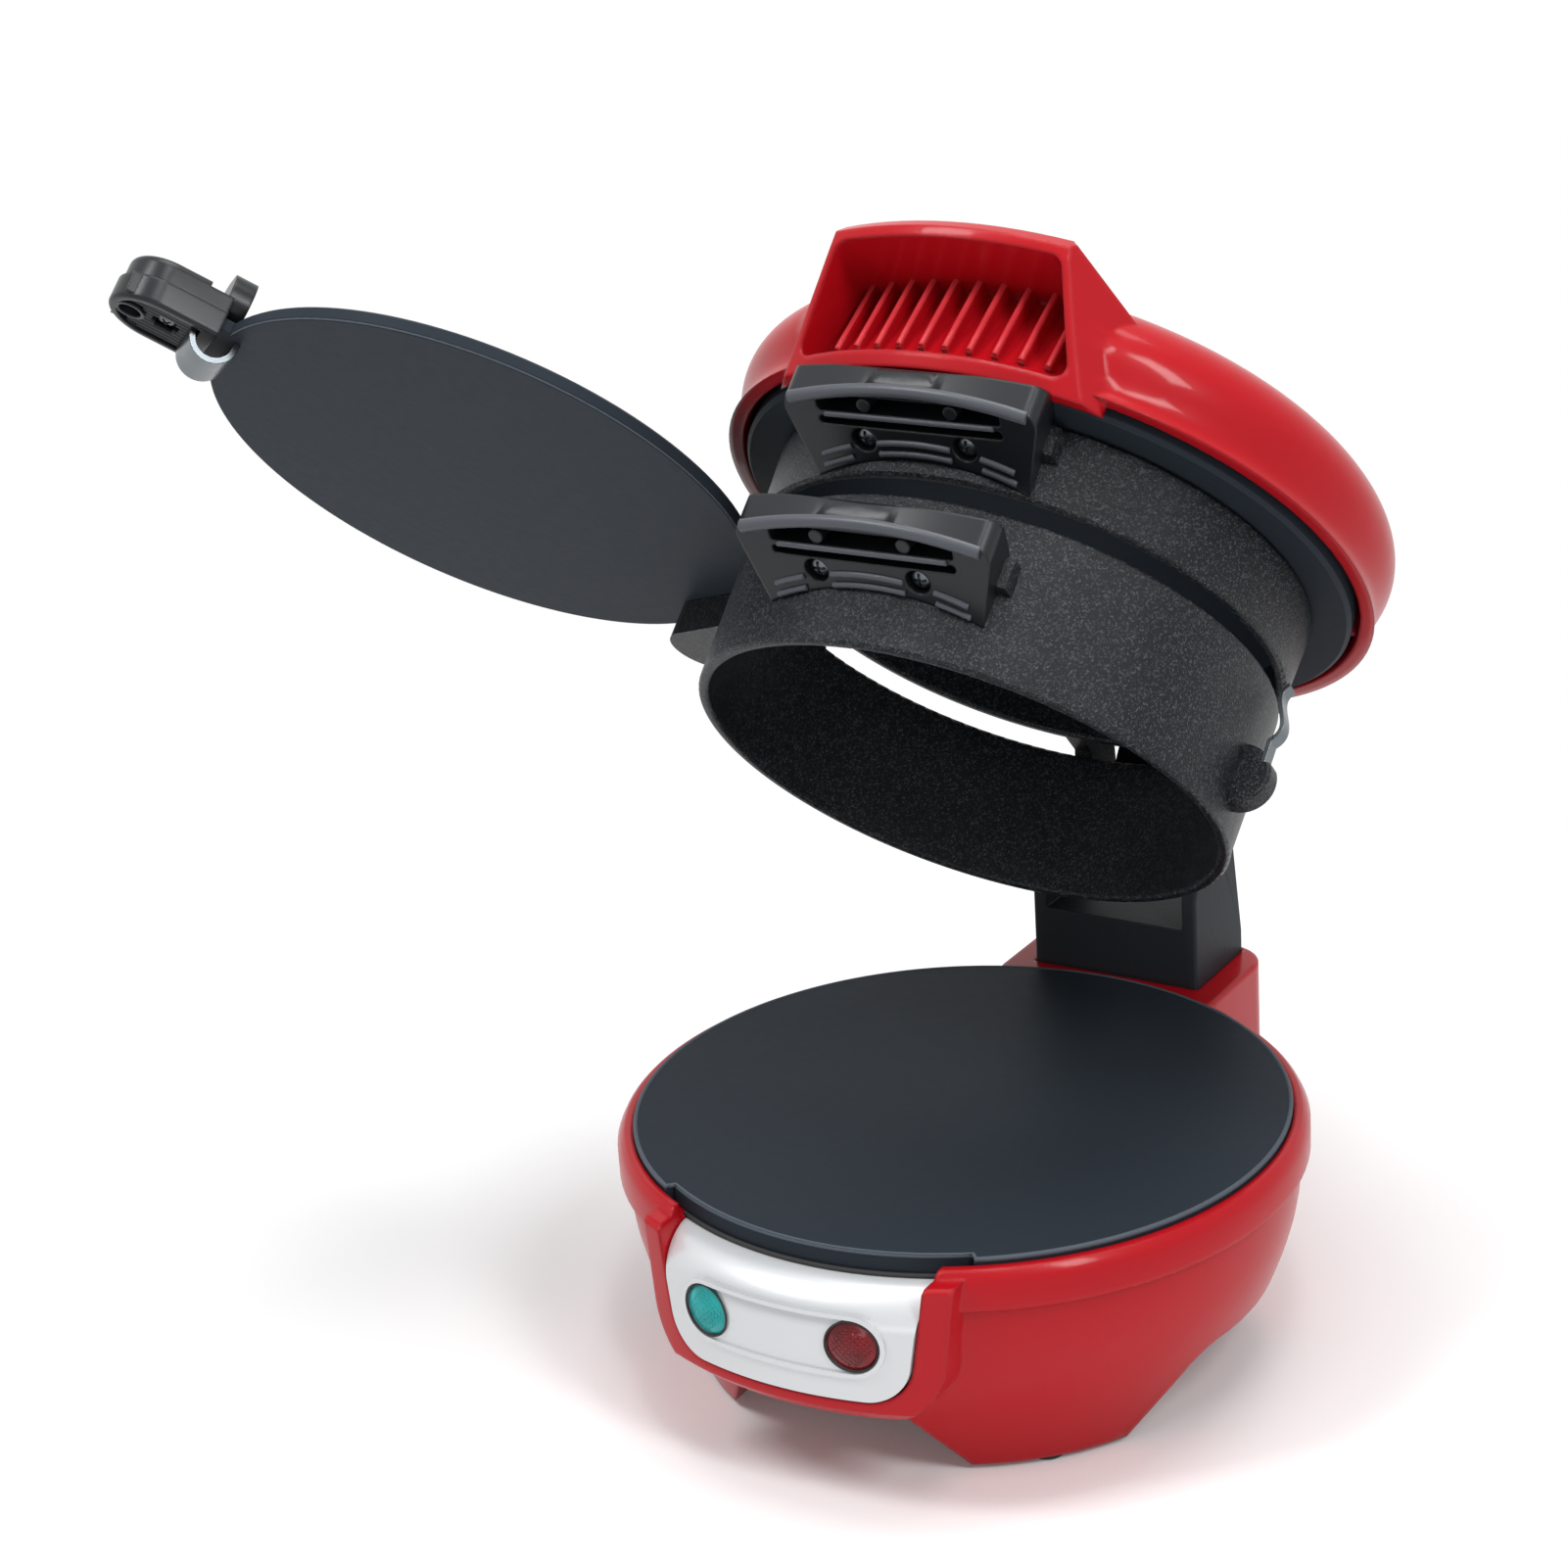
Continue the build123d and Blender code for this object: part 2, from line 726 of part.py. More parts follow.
def handle_screws(base, radius):
    """Pair of pan-head screws from the underside of a ring handle into its flange."""
    with BuildPart() as screws:
        plane = under_plane(base, radius)
        with BuildSketch(plane.offset(-handle_bore_deep)):
            with Locations((handle_screw_x, handle_screw_y), (-handle_screw_x, handle_screw_y)):
                Circle(handle_head)
        extrude(amount=handle_head_high)
        with BuildSketch(plane.offset(-handle_bore_deep)):
            with Locations((handle_screw_x, handle_screw_y), (-handle_screw_x, handle_screw_y)):
                Circle(handle_shank)
        extrude(amount=-handle_shank_long)
    return screws


def ring_bracket(base, radius):
    """Flange on a ring for its handle."""
    with BuildPart() as flange:
        revolve(bracket_face(base, radius, 0), axis=Axis.Z)
        with BuildSketch(Plane.XZ):
            with Locations((0, base)):
                Rectangle(2 * bracket_half, reach_far)
        extrude(amount=reach_far, mode=Mode.INTERSECT)
    return flange


def screw_bores(base, radius):
    """Blind bores along the two screws of a ring handle."""
    with BuildPart() as bores:
        with BuildSketch(under_plane(base, radius)):
            with Locations((handle_screw_x, handle_screw_y), (-handle_screw_x, handle_screw_y)):
                Circle(handle_shank + seat_gap)
        extrude(amount=-handle_bore_deep - handle_shank_long - seat_gap)
    return bores


def ring_handle(base, radius, ring_outer):
    """Moulded grip: underside slopes up and out, hollowed into two trays with a rib between."""
    with BuildPart() as tray:
        with BuildSketch(under_plane(base, radius)):
            for low, high in tray_bands:
                with Locations((0, (low + high) / 2)):
                    RectangleRounded(2 * tray_half, high - low, edge_round)
            with Locations((tray_post_x, tray_post_y), (-tray_post_x, tray_post_y)):
                Circle(tray_post, mode=Mode.SUBTRACT)
        extrude(amount=-handle_height)
        roof = [
            (-radius + shell_wall, base - handle_height),
            (-radius + shell_wall, base + handle_height - handle_skin),
            (-radius - handle_reach, base + handle_rise + handle_front - handle_skin),
            (-radius - handle_reach, base - handle_height),
        ]
        extrude(side_face(-handle_tip_half, roof), amount=2 * handle_tip_half, mode=Mode.INTERSECT)
    with BuildPart() as grip:
        with BuildSketch(Plane.YZ.offset(-handle_tip_half)) as side:
            with BuildLine():
                Polyline(
                    (-radius + handle_root, base - handle_root * handle_rise / handle_reach),
                    (-radius - handle_reach, base + handle_rise),
                    (-radius - handle_reach, base + handle_rise + handle_front),
                    (-radius, base + handle_height),
                    (-radius + handle_root, base + handle_height),
                    close=True,
                )
            make_face()
            fillet(side.vertices().group_by(Axis.X)[0], radius=2 * edge_round)
        extrude(amount=2 * handle_tip_half)
        with BuildSketch() as plan:
            with BuildLine():
                Line((handle_root_half, -radius + handle_root), (handle_tip_half, -radius - handle_shoulder))
                ThreePointArc(
                    (handle_tip_half, -radius - handle_shoulder),
                    (0, -radius - handle_reach),
                    (-handle_tip_half, -radius - handle_shoulder),
                )
                Line((-handle_tip_half, -radius - handle_shoulder), (-handle_root_half, -radius + handle_root))
                Line((-handle_root_half, -radius + handle_root), (handle_root_half, -radius + handle_root))
            make_face()
            fillet(plan.vertices().group_by(Axis.Y)[0], radius=handle_corner)
        extrude(amount=reach_far, mode=Mode.INTERSECT)
        revolve(profile(ring_outer), axis=Axis.Z, mode=Mode.SUBTRACT)
        revolve(bracket_face(base, radius, 1.5 * seat_gap), axis=Axis.Z, mode=Mode.SUBTRACT)
        add(tray.part, mode=Mode.SUBTRACT)
        screws = ((handle_screw_x, handle_screw_y), (-handle_screw_x, handle_screw_y))
        with BuildSketch(under_plane(base, radius)):
            with Locations(*screws):
                Circle(handle_head + seat_gap)
        extrude(amount=-handle_bore_deep, mode=Mode.SUBTRACT)
        add(screw_bores(base, radius).part, mode=Mode.SUBTRACT)
    return grip


# Ring handles and their fixing
handle_base_low = 61.3
handle_base_high = 88.3
handle_reach = 13.8
handle_rise = 6.9
handle_front = 4.1
handle_height = 12.4
handle_skin = 1.8
handle_root = 8.0
handle_root_half = 21.0
handle_tip_half = 27.0
handle_shoulder = 10.2
handle_corner = 3.0
handle_screw_x = 10.5
handle_screw_y = 3.2
handle_head = 2.4
handle_head_high = 1.6
handle_bore_deep = 2.2
handle_shank = 1.25
handle_shank_long = 5.0
tray_bands = [(6.0, 7.8), (8.8, 12.4)]
tray_half = 19.0
tray_post = 1.4
tray_post_x = 9.0
tray_post_y = 10.6
bracket_low = 5.0
bracket_high = 10.9
bracket_deep = 3.0
bracket_half = 24.6
# Lower ring
ear_half_low = 11.0
ear_half_high = 15.0
ear_root = 50.3
ear_foot = 60.0
ear_head = 79.0
eye_low = 74.0
eye_high = 81.6
eye_tip = (-73.0, 10.0)
eye_root = (-58.0, 8.0)
eye_tip_radius = 7.5
eye_root_radius = 12.0
lug_centre = (53.6, 61.2)
lug_radius = 6.2
lug_thick = 5.0
clip_thick = 0.9
clip_wide = 3.2
clip_y = 5.0
clip_points = [(57.2, 64.2), (57.2, 69.0), (58.3, 73.5), (56.5, 78.6), (57.6, 80.8)]

with BuildPart() as ring_ears:
    corners = [(ear_root, ear_foot), (ear_root, ear_head)]
    for x in (ear_half_low, -ear_half_high):
        thick = ear_half_high - ear_half_low
        extrude(hull_face(x, corners, (hinge_y, hinge_z), knuckle_radius), amount=thick)
    with BuildSketch(Plane.YZ.offset(-ear_half_high)):
        with Locations((hinge_y, hinge_z)):
            Circle(axle_radius + running_fit)
    extrude(amount=2 * ear_half_high, mode=Mode.SUBTRACT)

with BuildPart() as pivot_eye:
    with BuildSketch(Plane.XY.offset(eye_low)) as outline:
        with Locations(eye_tip):
            Circle(eye_tip_radius)
        with Locations(eye_root):
            Circle(eye_root_radius)
        make_hull()
    extrude(amount=eye_high - eye_low)
    with BuildSketch(Plane.XY.offset(eye_low)):
        with Locations((pivot_x, pivot_y)):
            Circle(rivet_radius + seat_gap / 2)
    extrude(amount=eye_high - eye_low, mode=Mode.SUBTRACT)

with BuildPart() as clip_lug:
    with BuildSketch(Plane.XZ.offset(-clip_y - lug_thick / 2)):
        with Locations(lug_centre):
            Circle(lug_radius)
    extrude(amount=lug_thick)
    fillet(clip_lug.edges().filter_by(GeomType.CIRCLE), edge_round)
    # Flat step that the spring clip is fixed on
    with BuildSketch(Plane.XZ.offset(-clip_y - lug_thick / 2)):
        with Locations((clip_points[0][0] - clip_thick / 2 - seat_gap, clip_points[0][1] - seat_gap)):
            Rectangle(lug_radius, lug_radius, align=Align.MIN)
    extrude(amount=lug_thick, mode=Mode.SUBTRACT)

with BuildPart() as lower_ring:
    add(ring_ears.part)
    add(pivot_eye.part)
    add(clip_lug.part)
    with BuildSketch():
        Circle(ring_low_radius - ring_wall / 2)
    extrude(amount=reach_far, mode=Mode.SUBTRACT)
    revolve(wall_face(ring_base, slot_low, ring_low_radius, ring_slot_radius), axis=Axis.Z)
    add(ring_bracket(handle_base_low, ring_low_radius + seat_gap).part)
    add(screw_bores(handle_base_low, ring_low_radius + seat_gap).part, mode=Mode.SUBTRACT)
lift(lower_ring)
save(lower_ring, "lower_ring")

ring_cut = [
    (0, ring_base),
    (ring_low_radius + seat_gap, ring_base),
    (ring_slot_radius + seat_gap, slot_low),
    (0, slot_low),
]
lower_ring_handle = ring_handle(handle_base_low, ring_low_radius + seat_gap, ring_cut)
lift(lower_ring_handle)
save(lower_ring_handle, "lower_ring_handle")
lower_handle_screws = handle_screws(handle_base_low, ring_low_radius + seat_gap)
lift(lower_handle_screws)
save(lower_handle_screws, "lower_handle_screws")

# Rivet that the cooking plate swings on
rivet_head = 4.2
rivet_low = 72.2
cooking_low = 81.8
cooking_high = 84.8
rivet_top = 86.3
with BuildPart() as plate_pivot_rivet:
    with BuildSketch(Plane.XY.offset(rivet_low)):
        with Locations((pivot_x, pivot_y)):
            Circle(rivet_head)
    extrude(amount=eye_low - rivet_low)
    with BuildSketch(Plane.XY.offset(rivet_low)):
        with Locations((pivot_x, pivot_y)):
            Circle(rivet_radius)
    extrude(amount=rivet_top - rivet_low)
    with BuildSketch(Plane.XY.offset(cooking_high + seat_gap)):
        with Locations((pivot_x, pivot_y)):
            Circle(rivet_head)
    extrude(amount=rivet_top - cooking_high - seat_gap)
    chamfer(plate_pivot_rivet.edges().group_by(Axis.Z)[-1], edge_round / 2)
    chamfer(plate_pivot_rivet.edges().group_by(Axis.Z)[0], edge_round / 2)
lift(plate_pivot_rivet)
save(plate_pivot_rivet, "plate_pivot_rivet")

# Spring clip that steadies the closed cooking plate
with BuildPart() as ring_spring_clip:
    with BuildSketch(Plane.XZ.offset(-clip_y - clip_wide / 2)):
        with BuildLine():
            Line(clip_points[0], clip_points[1])
            Spline(*clip_points[1:])
        trace(line_width=clip_thick)
    extrude(amount=clip_wide)
lift(ring_spring_clip)
save(ring_spring_clip, "ring_spring_clip")

# Upper ring
ring_top = 101.0
inner_ear_low = 6.4
inner_ear_high = 10.4
inner_ear_root = 51.7
inner_ear_bend = 59.5
inner_ear_foot = 86.0
inner_ear_head = 98.5
with BuildPart() as inner_ears:
    corners = [(inner_ear_bend, inner_ear_foot), (inner_ear_bend, inner_ear_head)]
    root = [
        (inner_ear_root, inner_ear_foot),
        (inner_ear_bend + edge_round, inner_ear_foot),
        (inner_ear_bend + edge_round, inner_ear_head - edge_round / 2),
        (inner_ear_bend, inner_ear_head),
        (inner_ear_root, inner_ear_head),
    ]
    for x in (inner_ear_low, -inner_ear_high):
        thick = inner_ear_high - inner_ear_low
        extrude(hull_face(x, corners, (hinge_y, hinge_z), knuckle_radius), amount=thick)
        extrude(side_face(x, root), amount=thick)
    with BuildSketch(Plane.YZ.offset(-inner_ear_high)):
        with Locations((hinge_y, hinge_z)):
            Circle(axle_radius + running_fit)
    extrude(amount=2 * inner_ear_high, mode=Mode.SUBTRACT)

with BuildPart() as upper_ring:
    add(inner_ears.part)
    revolve(wall_face(slot_high, ring_top, ring_slot_radius, ring_high_radius), axis=Axis.Z)
    add(ring_bracket(handle_base_high, ring_slot_radius + 2 * piece_gap).part)
    add(screw_bores(handle_base_high, ring_slot_radius + 2 * piece_gap).part, mode=Mode.SUBTRACT)
lift(upper_ring)
save(upper_ring, "upper_ring")

ring_cut = [
    (0, slot_high - reach_far / 4),
    (ring_slot_radius + seat_gap, slot_high - reach_far / 4),
    (ring_slot_radius + seat_gap, slot_high),
    (ring_high_radius + seat_gap, ring_top),
    (0, ring_top),
]
upper_ring_handle = ring_handle(handle_base_high, ring_slot_radius + 2 * piece_gap, ring_cut)
lift(upper_ring_handle)
save(upper_ring_handle, "upper_ring_handle")
upper_handle_screws = handle_screws(handle_base_high, ring_slot_radius + 2 * piece_gap)
lift(upper_handle_screws)
save(upper_handle_screws, "upper_handle_screws")

# Cooking plate: thin cast disc with an eye for the rivet and a tongue for its handle
eye_radius = 8.0
eye_blend = 12.0
eye_blend_spot = (-50.0, 5.0)
tongue_end = 62.0
tongue_width = 16.0
plate_chamfer = 0.5
grip_plane = Plane.XY.rotated((0, 0, plate_handle_angle))
with BuildPart() as cooking_plate:
    with BuildSketch(Plane.XY.offset(cooking_low)):
        Circle(cooking_plate_radius)
    with BuildSketch(Plane.XY.offset(cooking_low)):
        with Locations((pivot_x, pivot_y)):
            Circle(eye_radius)
        with Locations(eye_blend_spot):
            Circle(eye_blend)
        make_hull()
    with BuildSketch(grip_plane.offset(cooking_low)):
        with Locations((tongue_end - tongue_width / 2, 0)):
            RectangleRounded(tongue_width, tongue_width, 2 * edge_round)
    extrude(amount=cooking_high - cooking_low)
    chamfer(cooking_plate.edges().group_by(Axis.Z)[-1], plate_chamfer)
    chamfer(cooking_plate.edges().group_by(Axis.Z)[0], plate_chamfer)
    with BuildSketch(Plane.XY.offset(cooking_low)):
        with Locations((pivot_x, pivot_y)):
            Circle(rivet_radius + running_fit)
    extrude(amount=cooking_high - cooking_low, mode=Mode.SUBTRACT)
swing(cooking_plate)
save(cooking_plate, "cooking_plate")

# Handle of the cooking plate: two moulded shells, hollow below, with a thumb tab above
grip_root = 59.5
grip_tip = 80.5
grip_half = 9.25
grip_part = cooking_high + 2 * piece_gap
grip_low = grip_part - 5.3
grip_high = grip_part + 5.2
grip_shoulder = grip_high - 1.5
grip_step = 64.5
lid_inset = 0.8
tray_floor = cooking_low - 3 * seat_gap
tray_roof = grip_part - 1.6
grip_tray_root = 62.7
grip_wall = 1.7
grip_rib = 1.0
grip_rib_spot = 6.7
grip_screw_spots = (68.8, 76.0)
grip_boss = 3.0
grip_head = 2.1
grip_shank = 1.2
grip_head_low = grip_low + 1.2
grip_head_top = grip_low + 2.2
tab_root = 56.0
tab_end = 60.6
tab_top = grip_high + 5.5
tab_half = 7.0
tab_corner = 5.0
loop_centre = (59.5, grip_low + 0.5)
loop_radius = 5.0
strip_thick = 1.3
strip_half = 6.0
strip_end = 72.0


def grip_outline(height, inset):
    """Plan outline of the handle: straight sides and a round tip."""
    with BuildSketch(grip_plane.offset(height)) as outline:
        with Locations(((grip_root + grip_tip) / 2 - grip_half / 2, 0)):
            Rectangle(grip_tip - grip_root - grip_half, 2 * (grip_half - inset))
        with Locations((grip_tip - grip_half, 0)):
            Circle(grip_half - inset)
    return outline.sketch


with BuildPart() as plate_handle_lower:
    extrude(grip_outline(grip_low, 0), amount=grip_part - grip_low)
    fillet(plate_handle_lower.edges().group_by(Axis.Z)[0], edge_round)
    # Tray below, with bosses and ribs left standing
    with BuildSketch(grip_plane.offset(grip_low)):
        with Locations(((grip_tray_root + grip_tip - grip_half) / 2, 0)):
            Rectangle(grip_tip - grip_half - grip_tray_root, 2 * (grip_half - grip_wall))
        with Locations((grip_tip - grip_half, 0)):
            Circle(grip_half - grip_wall)
        with Locations(*[(spot, 0) for spot in grip_screw_spots[1:]]):
            Circle(grip_boss, mode=Mode.SUBTRACT)
    extrude(amount=tray_roof - grip_low, mode=Mode.SUBTRACT)
    with BuildSketch(grip_plane.offset(grip_low + edge_round)):
        for side in (-1, 1):
            with Locations(((grip_step + grip_tip) / 2, side * grip_rib_spot)):
                Rectangle(grip_tip - grip_step - 2 * grip_wall, grip_rib)
    extrude(amount=grip_part - grip_low - edge_round)
    # Recess for the tongue of the plate
    with BuildSketch(grip_plane.offset(tray_floor)):
        with Locations((grip_root, 0)):
            Rectangle(2 * (tongue_end - grip_root + piece_gap), tongue_width + 2 * piece_gap)
    extrude(amount=grip_part - tray_floor, mode=Mode.SUBTRACT)
    with BuildSketch(grip_plane.offset(grip_low)):
        with Locations(*[(spot, 0) for spot in grip_screw_spots]):
            Circle(grip_head + piece_gap)
    extrude(amount=grip_head_top - grip_low, mode=Mode.SUBTRACT)
    with BuildSketch(grip_plane.offset(grip_low)):
        with Locations(*[(spot, 0) for spot in grip_screw_spots]):
            Circle(grip_shank + seat_gap)
    extrude(amount=grip_part - grip_low, mode=Mode.SUBTRACT)
swing(plate_handle_lower)
save(plate_handle_lower, "plate_handle_lower")

with BuildPart() as plate_handle_upper:
    extrude(grip_outline(grip_part + seat_gap, lid_inset), amount=grip_high - grip_part - seat_gap)
    fillet(plate_handle_upper.edges().group_by(Axis.Z)[-1], 2 * edge_round)
    with BuildSketch(grip_plane.offset(grip_shoulder)):
        with Locations((grip_step - tongue_width, 0)):
            Rectangle(2 * tongue_width, 4 * grip_half)
    extrude(amount=reach_far, mode=Mode.SUBTRACT)
    # Thumb tab over the edge of the plate
    with BuildSketch(Plane.YZ.rotated((0, 0, plate_handle_angle)).offset(tab_root)) as tab:
        with Locations((0, (grip_part + tab_top) / 2)):
            Rectangle(2 * tab_half, tab_top - grip_part - 2 * seat_gap)
        fillet(tab.vertices().group_by(Axis.Z)[-1], tab_corner)
    extrude(amount=tab_end - tab_root)
    with BuildSketch(grip_plane.offset(grip_part)):
        with Locations(*[(spot, 0) for spot in grip_screw_spots]):
            Circle(grip_shank + seat_gap)
    extrude(amount=(grip_high - grip_part) / 2, mode=Mode.SUBTRACT)
swing(plate_handle_upper)
save(plate_handle_upper, "plate_handle_upper")

with BuildPart() as plate_handle_bracket:
    loop_mid = loop_radius - strip_thick / 2
    leg = loop_centre[0] + loop_mid
    flange = tray_roof - strip_thick / 2 - seat_gap
    with BuildSketch(Plane.XZ.rotated((0, 0, plate_handle_angle)).offset(-strip_half)):
        with BuildLine():
            Line((loop_centre[0] - loop_mid, cooking_low), (loop_centre[0] - loop_mid, loop_centre[1]))
            CenterArc(loop_centre, loop_mid, 180, 180)
            FilletPolyline(
                (leg, loop_centre[1]),
                (leg, flange),
                (strip_end, flange),
                radius=strip_thick,
            )
        trace(line_width=strip_thick)
    extrude(amount=2 * strip_half)
    with BuildSketch(grip_plane.offset(grip_low)):
        with Locations((grip_screw_spots[0], 0)):
            Circle(grip_shank + piece_gap)
    extrude(amount=grip_part - grip_low, mode=Mode.SUBTRACT)
swing(plate_handle_bracket)
save(plate_handle_bracket, "plate_handle_bracket")

with BuildPart() as plate_handle_screws:
    with BuildSketch(grip_plane.offset(grip_head_top)):
        with Locations(*[(spot, 0) for spot in grip_screw_spots]):
            Circle(grip_head)
    extrude(amount=grip_head_low - grip_head_top)
    with BuildSketch(grip_plane.offset(grip_head_top)):
        with Locations(*[(spot, 0) for spot in grip_screw_spots]):
            Circle(grip_shank)
    extrude(amount=(grip_part + grip_high) / 2 - grip_head_top - seat_gap)
swing(plate_handle_screws)
save(plate_handle_screws, "plate_handle_screws")

# Cover: waisted dome with a front hood that is cut back into a ribbed scoop
cover_rim = 103.0
hood_rim = 100.2
dome_steps = [(4.2, 103.0), (3.2, 106.0), (4.2, 110.0), (4.8, 113.5), (4.0, 117.5), (1.2, 121.5)]
dome_curve = [(cover_plate_radius + step, height) for step, height in dome_steps]
crown_curve = [dome_curve[-1], (56.5, 125.5), (42.5, 129.5), (23.5, 132.3), (0.0, 133.3)]
hood_steps = [(4.8, 100.2), (8.6, 112.0), (12.0, 122.8), (12.5, 125.6), (10.6, 127.9)]
hood_curve = [(cover_plate_radius + step, height) for step, height in hood_steps]
hood_curve += [(50.0, 131.6), (25.0, 132.6)]
hood_half_low = 38.0
hood_half_high = 24.5
hood_shoulder = 117.0
hood_top = 127.0
hood_corner = 4.0
hood_front = 70.0
hood_flare = 0.6
# Scoop: outline of its mouth, then the sections of its wall, its hollow and its ribs
mouth_half_high = 23.2
mouth_half_low = 28.3
mouth_high = 123.6
mouth_low = 103.2
mouth_corner = 2.5
mouth_wall = 1.8
liner_section = [(62.4, 101.0), (62.4, 105.4), (60.0, 105.4), (53.9, 125.2), (73.0, 125.4), (66.0, 101.0)]
pocket_section = [(64.2, 103.2), (64.2, 104.6), (61.7, 107.0), (56.0, 123.4), (80.0, 123.8), (80.0, 103.2)]
rib_section = [(60.9, 106.6), (63.2, 106.6), (59.6, 124.2), (55.2, 124.2)]
grille_count = 10
grille_pitch = 4.9
grille_width = 1.2
pad_half = 9.0
pad_front = cover_plate_radius + 0.7
pad_back = pad_front + 4.5
pad_low = 103.2
pad_top = 117.0
locator_count = 6
locator_start = -15.0
locator_range = 210.0
locator_low = 105.1
locator_high = 112.0
locator_inner = cover_plate_radius - 1.3
cover_stud_top = 120.0
cover_plate_high = 105.0
cover_stud = 1.9
arm_half = 5.4
arm_face = pad_back + seat_gap / 2
arm_corners = [(arm_face, 98.0), (arm_face, 116.2), (78.0, 114.2)]
arm_screw_heights = (107.7, 112.8)
arm_screw_head = 2.4
arm_screw_long = 9.0


def inset(points, depth):
    """Points of an outer curve moved inwards along its local normals."""
    moved = []
    for index, (r, z) in enumerate(points):
        before = points[max(index - 1, 0)]
        after = points[min(index + 1, len(points) - 1)]
        run = (after[0] - before[0], after[1] - before[1])
        size = (run[0] ** 2 + run[1] ** 2) ** 0.5
        moved.append((max(r - depth * run[1] / size, 0), z + depth * run[0] / size))
    return moved


def dome(points, base):
    """Solid of revolution under a curve that ends on the axis."""
    with BuildPart() as body:
        with BuildSketch(Plane.XZ):
            with BuildLine():
                Spline(*points)
                foot = [(points[0][0], base)] if base < points[0][1] else []
                Polyline(points[-1], (0, base), *foot, points[0])
            make_face()
        revolve(axis=Axis.Z)
    return body


def hood(points, grow):
    """Front hood: a turned outline kept inside a round-shouldered front outline and flared sides."""
    with BuildPart() as body:
        with BuildSketch(Plane.XZ):
            with BuildLine():
                Polyline(*points, (0, points[-1][1]), (0, points[0][1]), close=True)
            make_face()
        revolve(axis=Axis.Z)
        with BuildSketch(Plane.XZ) as outline:
            with BuildLine():
                Polyline(
                    (hood_half_low + grow, hood_rim - hood_corner),
                    (hood_half_low + grow, hood_shoulder),
                    (hood_half_high + grow, hood_top),
                    (hood_half_high + grow - hood_corner, hood_top + hood_corner),
                    (-hood_half_high - grow + hood_corner, hood_top + hood_corner),
                    (-hood_half_high - grow, hood_top),
                    (-hood_half_low - grow, hood_shoulder),
                    (-hood_half_low - grow, hood_rim - hood_corner),
                    close=True,
                )
            make_face()
            fillet(outline.vertices().group_by(Axis.Y)[1:3], radius=hood_corner)
        extrude(amount=reach_far, mode=Mode.INTERSECT)
        with BuildSketch(Plane.XY.offset(hood_rim)):
            with BuildLine():
                Polyline(
                    (hood_half_high + grow + hood_flare * hood_front, 0),
                    (hood_half_high + grow - hood_flare * shell_wall * 2, -hood_front - shell_wall * 2),
                    (-hood_half_high - grow + hood_flare * shell_wall * 2, -hood_front - shell_wall * 2),
                    (-hood_half_high - grow - hood_flare * hood_front, 0),
                    close=True,
                )
            make_face()
        extrude(amount=reach_far, mode=Mode.INTERSECT)
    return body


def front_band(section, grow):
    """Turned section kept inside the outline of the scoop's mouth, grown by a margin."""
    with BuildPart() as band:
        revolve(profile(section), axis=Axis.Z)
        with BuildSketch(Plane.XZ) as outline:
            with BuildLine():
                Polyline(
                    (mouth_half_low + grow, mouth_low - grow),
                    (mouth_half_high + grow, mouth_high + grow),
                    (-mouth_half_high - grow, mouth_high + grow),
                    (-mouth_half_low - grow, mouth_low - grow),
                    close=True,
                )
            make_face()
            fillet(outline.vertices(), radius=mouth_corner)
        extrude(amount=reach_far, mode=Mode.INTERSECT)
    return band


outer_curve = dome_curve + crown_curve[1:]
inner_curve = inset(outer_curve, shell_wall)
inner_curve[-1] = (0, crown_curve[-1][1] - shell_wall)
hood_inner = inset(hood_curve, shell_wall)
with BuildPart() as scoop_ribs:
    revolve(profile(rib_section), axis=Axis.Z)
    with BuildSketch(Plane.XZ):
        with Locations((0, cover_rim)):
            with GridLocations(grille_pitch, reach_far, grille_count, 1):
                Rectangle(grille_width, reach_far)
    extrude(amount=reach_far, mode=Mode.INTERSECT)

with BuildPart() as cover_fixings:
    with BuildSketch(Plane.XY.offset(cover_plate_high + post_length + seat_gap)):
        with PolarLocations(boss_circle, 3, start_angle=boss_turn):
            Circle(boss_radius)
    extrude(amount=reach_far)
    add(dome(inset(outer_curve, shell_wall / 2), hood_rim).part, mode=Mode.INTERSECT)
    with BuildSketch(Plane.XY.offset(locator_low)):
        locator_circle = (locator_inner + pad_front) / 2
        with PolarLocations(locator_circle, locator_count, locator_start, locator_range, endpoint=True):
            Rectangle(pad_front - locator_inner + 2 * shell_wall, shell_wall)
    extrude(amount=locator_high - locator_low)
    with BuildSketch(Plane.XY.offset(cover_plate_high)):
        with PolarLocations(boss_circle, 3, start_angle=boss_turn):
            Circle(cover_stud + seat_gap / 2)
    extrude(amount=cover_stud_top + edge_round - cover_plate_high, mode=Mode.SUBTRACT)

